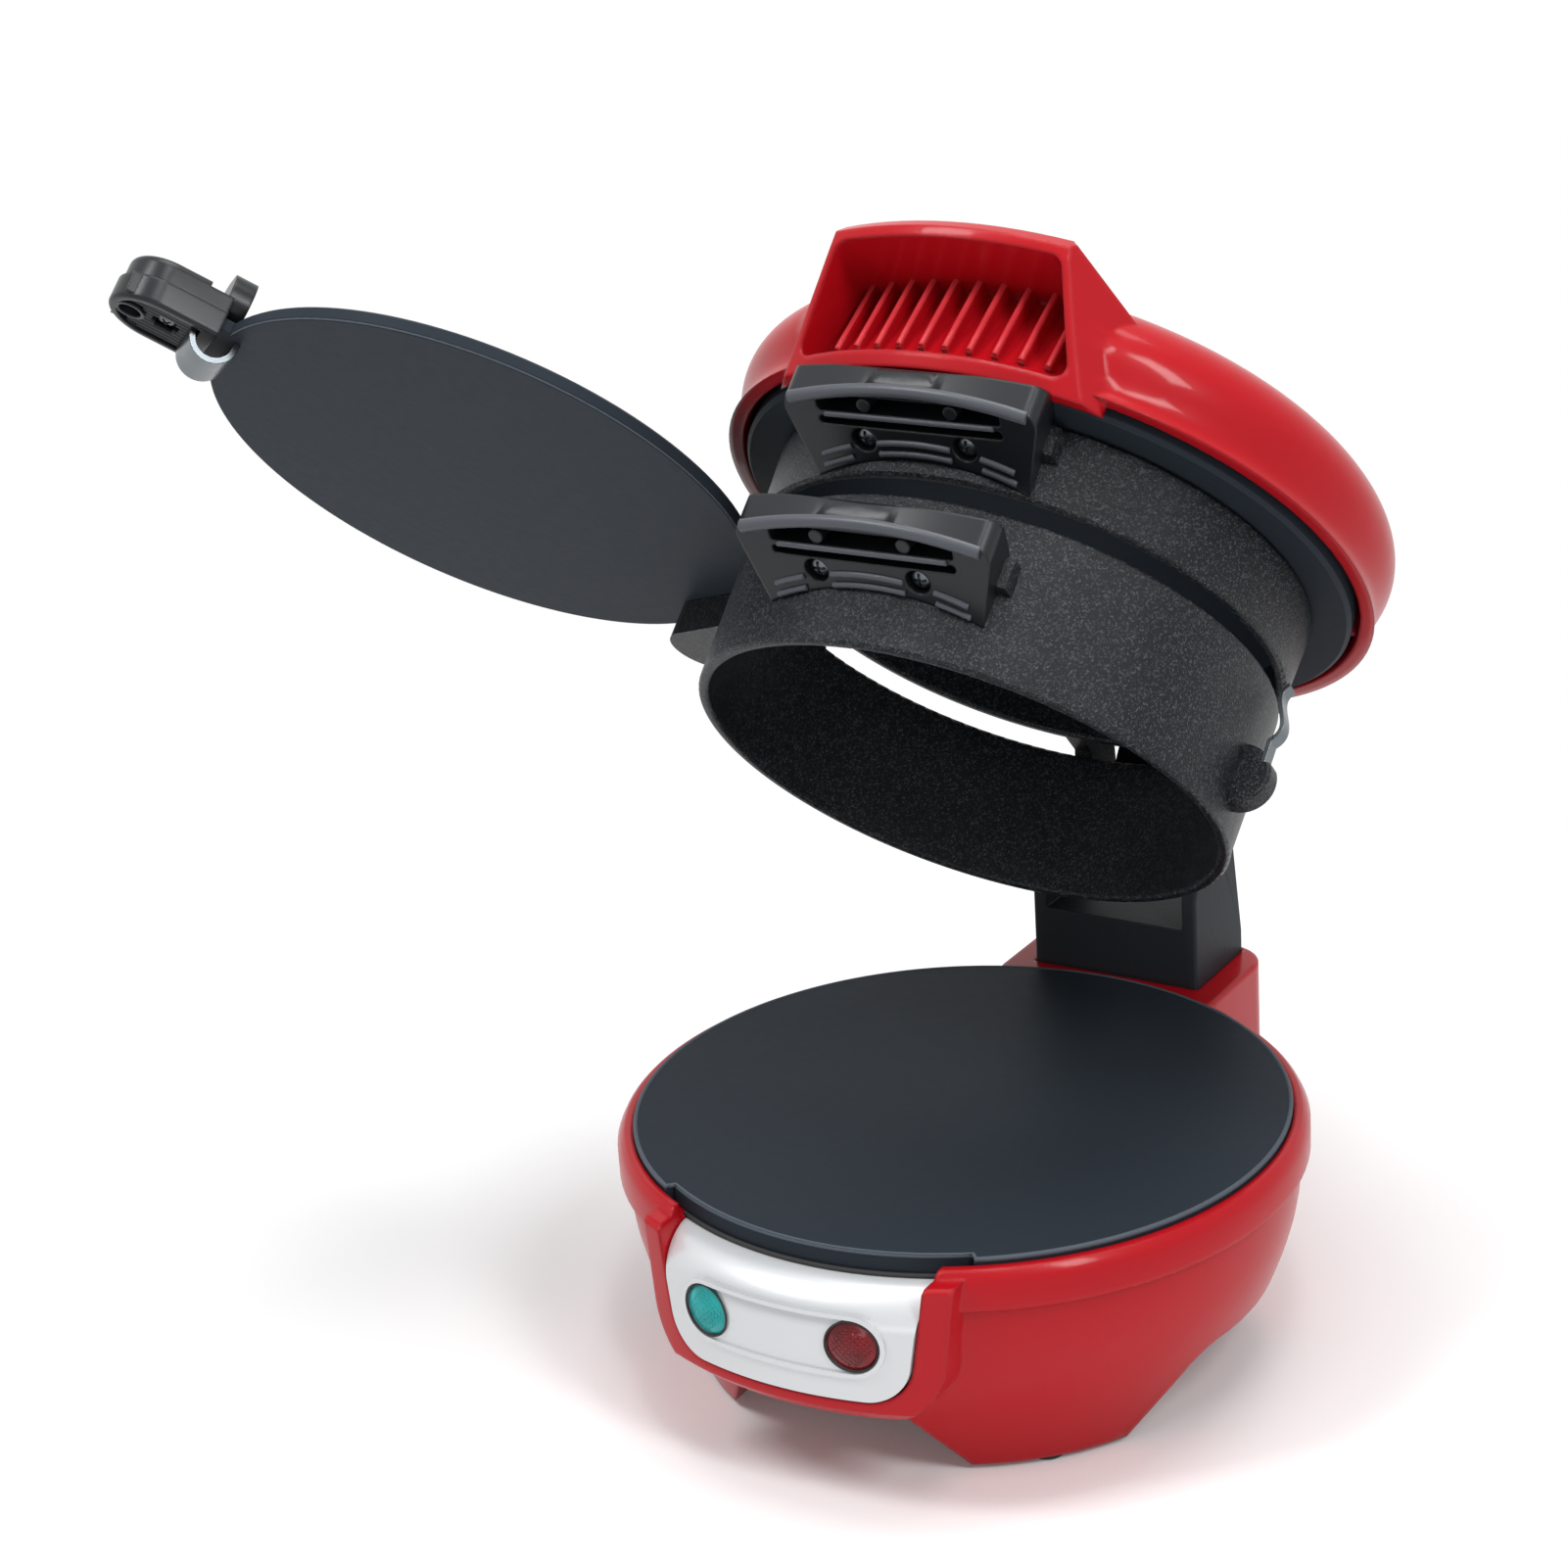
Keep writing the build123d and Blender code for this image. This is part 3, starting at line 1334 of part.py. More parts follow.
with BuildPart() as cover_shell:
    add(dome(outer_curve, cover_rim).part)
    add(hood(hood_curve, 0).part)
    add(dome(inner_curve, hood_rim).part, mode=Mode.SUBTRACT)
    add(hood(hood_inner, -shell_wall).part, mode=Mode.SUBTRACT)
    with BuildSketch(Plane.XY.offset(hood_rim)):
        Circle(hood_curve[0][0] - shell_wall)
    extrude(amount=cover_rim - hood_rim, mode=Mode.SUBTRACT)
    # Scoop: liner, pocket and the upright ribs on its back wall
    add(front_band(liner_section, mouth_wall).part)
    add(front_band(pocket_section, 0).part, mode=Mode.SUBTRACT)
    add(scoop_ribs.part)
    # Pad for the hinge arm, bosses and locating ribs for the heating plate
    with BuildSketch(Plane.XY.offset(pad_low)):
        with Locations((0, (pad_front + pad_back) / 2)):
            Rectangle(2 * pad_half, pad_back - pad_front)
    extrude(amount=pad_top - pad_low)
    with BuildSketch(Plane.XY.offset(pad_low)):
        with Locations((0, pad_back + pad_half)):
            Rectangle(4 * pad_half, 2 * pad_half)
    extrude(amount=pad_top - pad_low, mode=Mode.SUBTRACT)
    add(cover_fixings.part)
    with BuildSketch(Plane.XZ.offset(-pad_back)):
        with Locations(*[(0, height) for height in arm_screw_heights]):
            Circle(screw_shank + seat_gap)
    extrude(amount=pad_back - pad_front, mode=Mode.SUBTRACT)
lift(cover_shell)
save(cover_shell, "cover_shell")

# Upper heating plate and its hardware: the lower one mirrored
with BuildPart() as upper_heating_plate:
    with BuildSketch(Plane.XY.offset(cover_plate_low)):
        Circle(cover_plate_radius)
    extrude(amount=cover_plate_high - cover_plate_low)
    chamfer(upper_heating_plate.edges().group_by(Axis.Z)[0], edge_round)
    with BuildSketch(Plane.XY.offset(cover_plate_high)):
        with PolarLocations(boss_circle, 3, start_angle=boss_turn):
            Circle(boss_radius)
        with PolarLocations(post_circle, 3, start_angle=boss_turn):
            Circle(post_radius)
    extrude(amount=post_length)
    with BuildSketch(Plane.XY.offset(cover_plate_high + post_length)):
        with PolarLocations(boss_circle, 3, start_angle=boss_turn):
            Circle(cover_stud)
    extrude(amount=cover_stud_top - cover_plate_high - post_length)
    with BuildSketch(Plane.XY.offset(cover_plate_high + post_length)):
        with PolarLocations(post_circle, 3, start_angle=boss_turn):
            Circle(shield_shank + seat_gap)
    extrude(amount=-post_length, mode=Mode.SUBTRACT)
lift(upper_heating_plate)
save(upper_heating_plate, "upper_heating_plate")

upper_element = element(cover_plate_high + seat_gap + tube_radius, 1)
lift(upper_element)
save(upper_element, "upper_element")
upper_shield = shield(cover_plate_high + post_length + seat_gap)
lift(upper_shield)
save(upper_shield, "upper_heat_shield")
upper_shield_screws = shield_fasteners(cover_plate_high + post_length + 2 * seat_gap + shield_thick, 1)
lift(upper_shield_screws)
save(upper_shield_screws, "upper_shield_screws")
upper_fuse = fuse(cover_plate_high + seat_gap + fuse_radius)
lift(upper_fuse)
save(upper_fuse, "upper_thermal_fuse")

# Hinge arm of the cover and its two screws, driven from inside the cover
with BuildPart() as cover_hinge_arm:
    arm_outline = hull_face(-arm_half, arm_corners, (hinge_y, hinge_z), knuckle_radius)
    extrude(arm_outline, amount=2 * arm_half)
    with BuildSketch(Plane.YZ.offset(-arm_half)):
        with Locations((hinge_y, hinge_z)):
            Circle(axle_radius + running_fit)
    extrude(amount=2 * arm_half, mode=Mode.SUBTRACT)
    with BuildSketch(Plane.XZ.offset(-arm_face)):
        with Locations(*[(0, height) for height in arm_screw_heights]):
            Circle(screw_shank + seat_gap)
    extrude(amount=-arm_screw_long + pad_back - pad_front, mode=Mode.SUBTRACT)
lift(cover_hinge_arm)
save(cover_hinge_arm, "cover_hinge_arm")

with BuildPart() as hinge_arm_screws:
    with BuildSketch(Plane.XZ.offset(-pad_front + seat_gap)):
        with Locations(*[(0, height) for height in arm_screw_heights]):
            Circle(arm_screw_head)
    extrude(amount=screw_shank)
    with BuildSketch(Plane.XZ.offset(-pad_front + seat_gap)):
        with Locations(*[(0, height) for height in arm_screw_heights]):
            Circle(screw_shank)
    extrude(amount=-arm_screw_long)
lift(hinge_arm_screws)
save(hinge_arm_screws, "hinge_arm_screws")
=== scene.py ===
# %% [markdown]
# Breakfast sandwich maker, shown open. The CAD frame gives every piece its place, and this file
# gives the pieces their finish: glossy red shells, dark non-stick castings, black moulded grips,
# a silver painted panel and bright steel fittings. Each step says what the real piece is, how it
# could be made in Blender, and why it is made this way here.

import json
import math

import bmesh
import bpy
from mathutils import Matrix, Vector


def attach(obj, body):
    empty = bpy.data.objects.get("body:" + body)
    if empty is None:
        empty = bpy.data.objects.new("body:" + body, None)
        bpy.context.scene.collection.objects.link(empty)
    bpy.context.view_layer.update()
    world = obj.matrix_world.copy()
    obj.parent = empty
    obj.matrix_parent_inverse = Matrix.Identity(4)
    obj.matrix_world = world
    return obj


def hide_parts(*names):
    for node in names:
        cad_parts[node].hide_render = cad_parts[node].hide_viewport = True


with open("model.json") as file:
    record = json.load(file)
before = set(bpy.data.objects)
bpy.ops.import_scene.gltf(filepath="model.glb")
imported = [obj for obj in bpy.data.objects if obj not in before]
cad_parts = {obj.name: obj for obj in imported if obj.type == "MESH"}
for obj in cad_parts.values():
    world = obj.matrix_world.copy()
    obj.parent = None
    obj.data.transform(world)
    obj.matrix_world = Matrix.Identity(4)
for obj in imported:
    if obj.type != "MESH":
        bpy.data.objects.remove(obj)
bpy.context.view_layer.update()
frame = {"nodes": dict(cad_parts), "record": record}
nodes = frame["nodes"]
record = frame["record"]
body_of_node = {
    name: body for body, names in record["behaviour"]["bodies"].items() for name in names
}
slot_of_node = {part["node"]: part["material_slot"] for part in record["subparts"]}
MM = 0.001


def in_mm(metres):
    """Metres as rounded millimetres, for printing."""
    return [round(value / MM, 1) for value in metres]


# %% [markdown]
# The bowl's axis stands a little to the right of the frame's origin, because the open cooking
# plate reaches out to the left. Details are laid out round that axis. Those of the rings and the
# cover are laid out as if the stack were closed, and then lifted about the hinge. Those of the
# cooking plate are first swung out about its rivet.

# %% Bowl axis, hinge, rivet and their angles
AXIS = Matrix.Translation((47.6 * MM, -16.7 * MM, 0))
HINGE = Vector((0, 78.4 * MM, 76.5 * MM))
RIVET = Vector((-63.5 * MM, 10.0 * MM, 0))
OPEN_ANGLE = math.radians(46.6)
SWING_ANGLE = math.radians(121.3)


def turn_about(point, angle, axis):
    """Turn by an angle about an axis through a point."""
    return Matrix.Translation(point) @ Matrix.Rotation(angle, 4, axis) @ Matrix.Translation(-point)


LIFT = AXIS @ turn_about(HINGE, -OPEN_ANGLE, "X")
SWING = LIFT @ turn_about(RIVET, -SWING_ANGLE, "Z")
print("hinge at mm:", in_mm(AXIS @ HINGE), "rivet at mm:", in_mm(LIFT @ RIVET))

# %% [markdown]
# Colours are written as they look on a screen, in sRGB hex, and one function turns them into the
# linear numbers that the renderer works with. Another adds a node to a tree, sets its properties,
# and feeds each of its inputs a value or a link from another node's output.


# %% Colour and node helpers
def colour(code):
    """sRGB hex to linear RGBA."""
    parts = [int(code[i : i + 2], 16) / 255 for i in (0, 2, 4)]
    linear = [c / 12.92 if c <= 0.04045 else ((c + 0.055) / 1.055) ** 2.4 for c in parts]
    return (*linear, 1.0)


def feed(made, inputs):
    """Gives a node's inputs their values. Another node's output as a value becomes a link."""
    for name, value in inputs.items():
        if isinstance(value, bpy.types.NodeSocket):
            made.id_data.links.new(value, made.inputs[name])
        else:
            made.inputs[name].default_value = value


def node(tree, kind, inputs=None, **properties):
    """Adds a node, sets its properties and feeds its inputs."""
    made = tree.nodes.new(kind)
    for name, value in properties.items():
        setattr(made, name, value)
    feed(made, inputs or {})
    return made


print("mid grey in linear numbers:", [round(c, 3) for c in colour("808080")])

# %% [markdown]
# Each slot of the frame gets one material. The function finish starts it with the shader's own
# values. Then skin gives it what its making leaves: a noise of a real size drives a bump, and
# where the piece has soft edges, a Bevel node rounds their shading. At last a third function mixes
# in a paler shade, a painted highlight, where a mesh carries an attribute that marks it. The
# surroundings are white and show in every reflection, which would veil the red and the dark
# pieces, so these take a specular level below the usual one.

# %% Finish helpers
MATERIALS = {}
NOISE_SIZE = 0.5  # width of a noise's features at scale 1, in metres
# Name of the mesh attribute that marks where a painted highlight goes.
HIGHLIGHT_MARK = "painted_highlight"
# Where a node that mixes colours keeps its factor, its two colours and its result.
FACTOR, FIRST, SECOND, MIXED = 0, 6, 7, 2


def finish(slot, name, code, roughness, metallic=0.0, **more):
    """Starts a slot's material. Returns its tree, its shader and the place on the piece."""
    material = bpy.data.materials.new(name)
    material.use_nodes = True
    material.diffuse_color = colour(code)
    tree = material.node_tree
    shader = tree.nodes["Principled BSDF"]
    feed(shader, {"Base Color": colour(code), "Roughness": roughness, "Metallic": metallic})
    feed(shader, {socket.replace("_", " "): value for socket, value in more.items()})
    MATERIALS[slot] = material
    print("made", name)
    return tree, shader, node(tree, "ShaderNodeTexCoord").outputs["Object"]


def per_metre(size_mm):
    """Scale of a noise whose features are about this many millimetres across."""
    return NOISE_SIZE / (size_mm * MM)


def skin(tree, shader, place, size_mm, strength, depth_mm, detail=2.0, contrast=0.5, edge_mm=0.0):
    """Bumps and soft edges of real sizes. Returns the noise and the bent surface direction."""
    noise = node(
        tree,
        "ShaderNodeTexNoise",
        {"Vector": place, "Scale": per_metre(size_mm), "Detail": detail, "Roughness": contrast},
    )
    bumps = {"Height": noise.outputs["Fac"], "Strength": strength, "Distance": depth_mm * MM}
    if edge_mm:
        rounded = node(tree, "ShaderNodeBevel", {"Radius": edge_mm * MM}, samples=6)
        bumps["Normal"] = rounded.outputs["Normal"]
    bent = node(tree, "ShaderNodeBump", bumps).outputs["Normal"]
    feed(shader, {"Normal": bent})
    return noise.outputs["Fac"], bent


def paint_highlight(tree, shader, code, pale):
    """Paints a highlight: mixes the paler shade into the colour where the mesh marks it."""
    painted_highlight = node(tree, "ShaderNodeAttribute", attribute_name=HIGHLIGHT_MARK)
    shades = {FACTOR: painted_highlight.outputs["Fac"], FIRST: colour(code), SECOND: colour(pale)}
    highlit = node(tree, "ShaderNodeMix", shades, data_type="RGBA")
    feed(shader, {"Base Color": highlit.outputs[MIXED]})


print("noise scale for a grain of 1 mm:", round(per_metre(1.0)))

# %% [markdown]
# The two shells are injection-moulded ABS in a strong red, moulded in a polished tool, so they
# are smooth and reflect the softboxes as crisp pale patches. A clear coat over a slightly duller
# body gives both: a sharp reflection on top of an even colour. A moulded wall is never quite
# flat, so a slow wave of about 9 mm bends the reflections a little, and every edge is rounded by
# 1.3 mm, as the polished tool rounds the edges of the moulding. The noses of the ribs in the
# cover's scoop get a paler red, a painted highlight.

# %% Red moulded ABS
# The paler red is a painted highlight for the noses of the scoop's ribs.
RED, PALE_RED = "AE0F1A", "D23A41"
tree, shader, place = finish(
    "red_shell",
    "red_moulded_abs",
    RED,
    roughness=0.3,
    Specular_IOR_Level=0.1,
    Coat_Weight=0.22,
    Coat_Roughness=0.05,
)
_, bent = skin(
    tree, shader, place, size_mm=9.0, strength=0.02, depth_mm=1.0, detail=1.0, edge_mm=1.3
)
feed(shader, {"Coat Normal": bent})
# Paints the paler red as a highlight where a mesh is marked.
paint_highlight(tree, shader, RED, PALE_RED)

# %% [markdown]
# The hinge tower and the cover's arm are glass-filled nylon, moulded in a tool with a fine
# spark-eroded texture of about 0.7 mm, which spreads highlights into a soft sheen. The vented
# plate that closes the underside is plain black polypropylene with a weaker texture.

# %% Dark textured mouldings
tree, shader, place = finish(
    "dark_shell", "dark_textured_nylon", "2A2D31", roughness=0.5, Specular_IOR_Level=0.12
)
skin(tree, shader, place, size_mm=0.7, strength=0.12, depth_mm=0.4, detail=3.0, contrast=0.6)

tree, shader, place = finish(
    "cover_plate_dark", "black_moulded_polypropylene", "1D1F21", roughness=0.5
)
skin(tree, shader, place, size_mm=0.9, strength=0.08, depth_mm=0.3)

# %% [markdown]
# The heating plates and the cooking plate are die-cast aluminium with a sprayed, baked non-stick
# coat: matt, blue-black, with an orange-peel of about 1.2 mm that also varies the roughness. The
# coat's fluoropolymer has a low IOR of about 1.34, so it reflects little. The plates' rims get a
# paler shade, a painted highlight.

# %% Non-stick coat of the plates
COAT, PALE_COAT = "2A3037", "545B63"
tree, shader, place = finish(
    "nonstick_plate",
    "nonstick_coat_on_cast_aluminium",
    COAT,
    roughness=0.5,
    IOR=1.34,
    Specular_IOR_Level=0.1,
)
peel, _ = skin(
    tree, shader, place, size_mm=1.2, strength=0.1, depth_mm=0.3, detail=3.0, contrast=0.6
)
sheen = node(tree, "ShaderNodeMapRange", {"Value": peel, "To Min": 0.42, "To Max": 0.54})
feed(shader, {"Roughness": sheen.outputs["Result"]})
# The paler coat is a painted highlight on the marked rims.
paint_highlight(tree, shader, COAT, PALE_COAT)

# %% [markdown]
# The rings have the same kind of coat with mineral flakes of about 0.3 mm in it, which glint as
# separate specks where a light catches them. A Voronoi pattern gives each flake its own random
# shade, and only the brightest of them show.

# %% Flaked non-stick coat of the rings
FLAKE_MM = 0.3
RING_COAT, FLAKE = "16181A", "4C5056"
tree, shader, place = finish(
    "nonstick_ring",
    "flaked_nonstick_coat",
    RING_COAT,
    roughness=0.36,
    IOR=1.42,
    Specular_IOR_Level=0.25,
)
flakes = node(tree, "ShaderNodeTexVoronoi", {"Vector": place, "Scale": 1 / (FLAKE_MM * MM)})
glint = node(
    tree,
    "ShaderNodeMapRange",
    {"Value": flakes.outputs["Color"], "From Min": 0.6, "From Max": 0.95},
)
shades = {FACTOR: glint.outputs["Result"], FIRST: colour(RING_COAT), SECOND: colour(FLAKE)}
specks = node(tree, "ShaderNodeMix", shades, data_type="RGBA")
relief = node(
    tree,
    "ShaderNodeBump",
    {"Height": flakes.outputs["Distance"], "Strength": 0.35, "Distance": FLAKE_MM * MM},
)
feed(shader, {"Base Color": specks.outputs[MIXED], "Normal": relief.outputs["Normal"]})

# %% [markdown]
# The grips are compression-moulded phenolic: black, dense and a little shiny on the edges that
# the tool polished. A satin surface with a weak wave of about 3 mm and edges rounded by 0.7 mm
# looks like it. The lips, ribs and ledges get a paler shade, a painted highlight.

# %% Black phenolic
BLACK, PALE_BLACK = "191B1F", "4C4F55"
tree, shader, place = finish(
    "handle_phenolic", "black_moulded_phenolic", BLACK, roughness=0.3, Specular_IOR_Level=0.3
)
skin(tree, shader, place, size_mm=3.0, strength=0.05, depth_mm=0.4, edge_mm=0.7)
# The paler black is a painted highlight on the marked lips, ribs and ledges.
paint_highlight(tree, shader, BLACK, PALE_BLACK)

# %% [markdown]
# The panel is ABS sprayed with a silver lacquer. Fine aluminium flake under a clear coat makes it
# bright but softly blurred, so it takes a metallic share with a medium roughness.

# %% Silver lacquer
tree, shader, place = finish(
    "silver_panel",
    "silver_lacquered_abs",
    "CCCED0",
    roughness=0.34,
    metallic=0.3,
    Coat_Weight=0.35,
    Coat_Roughness=0.15,
)
skin(tree, shader, place, size_mm=0.25, strength=0.04, depth_mm=0.2, detail=1.0)

# %% [markdown]
# The lenses are tinted clear acrylic. The little prisms that spread the lamp's light are made as
# geometry further on, so the material only needs the tint, a polished face and a share of
# transmission. A cloudy noise of about 2 mm stands for the uneven light of the neon lamp behind.

# %% Lens acrylic and lamp glass
ACRYLICS = (
    # slot, material, deep tint, brighter shade of painted lamp light
    ("green_lens", "teal_acrylic", "088C8C", "2CC0BE"),
    ("red_lens", "ruby_acrylic", "4A060C", "8E121B"),
)
for slot, name, deep, bright in ACRYLICS:
    tree, shader, place = finish(
        slot,
        name,
        deep,
        roughness=0.12,
        Transmission_Weight=0.12,
        IOR=1.49,
        Coat_Weight=0.1,
        Specular_IOR_Level=0.25,
    )
    cloud = node(
        tree, "ShaderNodeTexNoise", {"Vector": place, "Scale": per_metre(2.0), "Detail": 1.0}
    )
    # The brighter shade is painted lamp light, in uneven cloudy patches.
    shades = {FACTOR: cloud.outputs["Fac"], FIRST: colour(deep), SECOND: colour(bright)}
    tint = node(tree, "ShaderNodeMix", shades, data_type="RGBA")
    feed(shader, {"Base Color": tint.outputs[MIXED]})
finish(
    "lamp_glass", "neon_lamp_glass", "F2F2EE", roughness=0.05, Transmission_Weight=0.8, IOR=1.5
)

# %% [markdown]
# Steel comes in several states: bright rolled strip, zinc-plated screws, and plain or heat-tinted
# sheet and tube near the heaters. All are metals with the default IOR. They differ in colour and
# roughness, and in how much fine streaking or mottling varies the roughness.

# %% Steels
STEELS = (
    # slot, material, colour, smoothest and dullest roughness, mottle in mm
    ("bright_steel", "bright_rolled_steel", "6E7478", 0.22, 0.36, 1.5),
    ("screw_steel", "zinc_plated_steel", "6C7074", 0.3, 0.42, 0.8),
    ("heater_steel", "heat_tinted_steel", "8A7A68", 0.34, 0.5, 2.5),
    ("shield_steel", "aluminised_steel_sheet", "B8BABB", 0.32, 0.46, 3.0),
)
for slot, name, code, smooth, dull, size_mm in STEELS:
    tree, shader, place = finish(slot, name, code, smooth, metallic=1.0)
    mottle = node(
        tree, "ShaderNodeTexNoise", {"Vector": place, "Scale": per_metre(size_mm), "Detail": 4.0}
    )
    blur = node(
        tree,
        "ShaderNodeMapRange",
        {"Value": mottle.outputs["Fac"], "To Min": smooth, "To Max": dull},
    )
    feed(shader, {"Roughness": blur.outputs["Result"]})

# %% [markdown]
# The small insulating pieces are natural nylon, glazed ceramic and black rubber. Each gets a weak
# skin at its own scale: a moulded grain, a pooled glaze, and the fine matt skin of rubber.

# %% Nylon, ceramic and rubber
SMALL_FINISHES = (
    # slot, material, colour, roughness, grain in mm, strength
    ("white_nylon", "natural_nylon", "E6E3DA", 0.45, 1.0, 0.05),
    ("ceramic", "glazed_ceramic", "E9E4D6", 0.25, 4.0, 0.1),
    ("pad_rubber", "black_moulded_rubber", "1E1E1F", 0.7, 0.5, 0.15),
)
for slot, name, code, roughness, size_mm, strength in SMALL_FINISHES:
    tree, shader, place = finish(slot, name, code, roughness)
    skin(tree, shader, place, size_mm, strength, depth_mm=0.3)
print("finishes:", len(MATERIALS))

# %% [markdown]
# The CAD pieces arrive as loose triangles. Moulded and cast parts never have knife-sharp edges, and
# their curved faces should shade smoothly. So each piece is copied, its doubled points are merged,
# its gently bent edges are shaded smooth, and its hard edges get a narrow bevel of real size that
# catches the light. The copy then stands for the CAD piece. The screws and the lenses are left for
# later, because they are made afresh.

# %% Smooth shading with hard edges
SAME_POINT = 0.001 * MM
HARD_ANGLE = 32.0


def shade(mesh, hard_angle=HARD_ANGLE):
    """Merges doubled points and shades smooth across all edges bent less than the angle."""
    work = bmesh.new()
    work.from_mesh(mesh)
    bmesh.ops.remove_doubles(work, verts=work.verts, dist=SAME_POINT)
    for face in work.faces:
        face.smooth = True
        face.material_index = 0
    for edge in work.edges:
        gentle = edge.calc_face_angle(0) < math.radians(hard_angle)
        edge.smooth = len(edge.link_faces) == 2 and gentle
    work.to_mesh(mesh)
    work.free()


def add_piece(name, mesh, body, slot, stands_for=None):
    """Puts a finished mesh into the scene, in its slot's finish, and rides it on its body."""
    mesh.materials.clear()
    mesh.materials.append(MATERIALS[slot])
    piece = bpy.data.objects.new(name, mesh)
    bpy.context.scene.collection.objects.link(piece)
    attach(piece, body)
    if stands_for:
        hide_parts(stands_for)
    return piece


print("edges stay hard from", HARD_ANGLE, "degrees")

# %% Dress the CAD pieces
MADE_AFRESH = ("screws", "lens")
BEVEL_STEPS = 2
BEVELS_MM = {
    "base_housing": 0.35,
    "cover_shell": 0.3,
    "hinge_tower": 0.3,
    "control_panel": 0.15,
    "lower_heating_plate": 0.2,
    "upper_heating_plate": 0.2,
    "lower_ring": 0.2,
    "upper_ring": 0.2,
    "lower_ring_handle": 0.3,
    "upper_ring_handle": 0.3,
    "plate_handle_lower": 0.2,
    "plate_handle_upper": 0.25,
    "cooking_plate": 0.1,
    "cover_hinge_arm": 0.4,
    "plate_handle_bracket": 0.15,
    "ring_spring_clip": 0.1,
}
dressed = [name for name in nodes if not name.endswith(MADE_AFRESH)]
for name in dressed:
    mesh = nodes[name].data.copy()
    shade(mesh)
    piece = add_piece(name + "_dressed", mesh, body_of_node[name], slot_of_node[name], name)
    if name in BEVELS_MM:
        soft = piece.modifiers.new("soft_edge", "BEVEL")
        soft.width = BEVELS_MM[name] * MM
        soft.segments = BEVEL_STEPS
        soft.limit_method = "ANGLE"
        soft.angle_limit = math.radians(HARD_ANGLE)
        soft.harden_normals = True
print("dressed pieces:", len(dressed), "with soft edges:", len(BEVELS_MM))

# %% [markdown]
# Screws, ribs and lens prisms repeat, so each is grown by a small Geometry Nodes tree: one shape,
# named inputs for its sizes, and points or lines that say where it goes. The first helper starts a
# tree, the second closes it with Realize Instances and Set Material, and the third runs it and
# keeps its result as a plain mesh.


# %% Helpers for the growing trees
def recipe(name, sizes):
    """A Geometry Nodes tree with named size inputs and a finish. Returns it and its inputs."""
    tree = bpy.data.node_groups.new(name, "GeometryNodeTree")
    sockets = {"Places": "Geometry", **dict.fromkeys(sizes, "Float"), "Finish": "Material"}
    for label, kind in sockets.items():
        socket = tree.interface.new_socket(
            name=label, in_out="INPUT", socket_type="NodeSocket" + kind
        )
        if label in sizes:
            socket.default_value = sizes[label]
    tree.interface.new_socket(name="Result", in_out="OUTPUT", socket_type="NodeSocketGeometry")
    return tree, node(tree, "NodeGroupInput").outputs


def close_recipe(tree, geometry, given):
    """Ends a tree: real geometry in one finish."""
    real = node(tree, "GeometryNodeRealizeInstances", {"Geometry": geometry})
    done = node(
        tree,
        "GeometryNodeSetMaterial",
        {"Geometry": real.outputs[0], "Material": given["Finish"]},
    )
    node(tree, "NodeGroupOutput", {0: done.outputs[0]})
    print(tree.name, "nodes:", len(tree.nodes))


def grow(tree, points, edges, sizes, slot, place):
    """Grows a tree over points or lines and returns a plain mesh, moved to its place."""
    seed = bpy.data.meshes.new("seed")
    seed.from_pydata(points, edges, [])
    holder = bpy.data.objects.new("seed", seed)
    bpy.context.scene.collection.objects.link(holder)
    growth = holder.modifiers.new("growth", "NODES")
    growth.node_group = tree
    sockets = {s.name: s.identifier for s in tree.interface.items_tree if s.in_out == "INPUT"}
    for label, value in {**sizes, "Finish": MATERIALS[slot]}.items():
        growth[sockets[label]] = value
    result = holder.evaluated_get(bpy.context.evaluated_depsgraph_get())
    mesh = bpy.data.meshes.new_from_object(result)
    bpy.data.objects.remove(holder)
    bpy.data.meshes.remove(seed)
    mesh.transform(place)
    return mesh


print("helpers ready")

# %% [markdown]
# Every screw is a zinc-plated pan-head screw with a cross recess. Its head is half of a flattened
# ball. Two crossed bars sink the recess, and a big block takes away the lower half. The bars and
# the block are shares of the head's radius, so heads of all sizes look alike.

# %% Head of the pan-head screw
# Kinds of node that the trees use most.
MATH, XYZ, MOVE = "ShaderNodeMath", "ShaderNodeCombineXYZ", "GeometryNodeTransform"
RECESS_LONG, RECESS_WIDE, BLOCK = 1.15, 0.26, 3.0
screw_tree, given = recipe(
    "pan_head_screws",
    {
        "Head Radius": 2.4 * MM,
        "Head Height": 1.6 * MM,
        "Shank Radius": 1.2 * MM,
        "Shank Length": 5 * MM,
    },
)
head, high = given["Head Radius"], given["Head Height"]
flatness = node(screw_tree, MATH, {0: high, 1: head}, operation="DIVIDE").outputs[0]
flat = node(screw_tree, XYZ, {"X": 1.0, "Y": 1.0, "Z": flatness}).outputs[0]
ball = node(screw_tree, "GeometryNodeMeshUVSphere", {"Radius": head, "Segments": 28, "Rings": 14})
dome = node(screw_tree, MOVE, {"Geometry": ball.outputs["Mesh"], "Scale": flat})
long, wide, block = (
    node(screw_tree, MATH, {0: head, 1: share}, operation="MULTIPLY").outputs[0]
    for share in (RECESS_LONG, RECESS_WIDE, BLOCK)
)
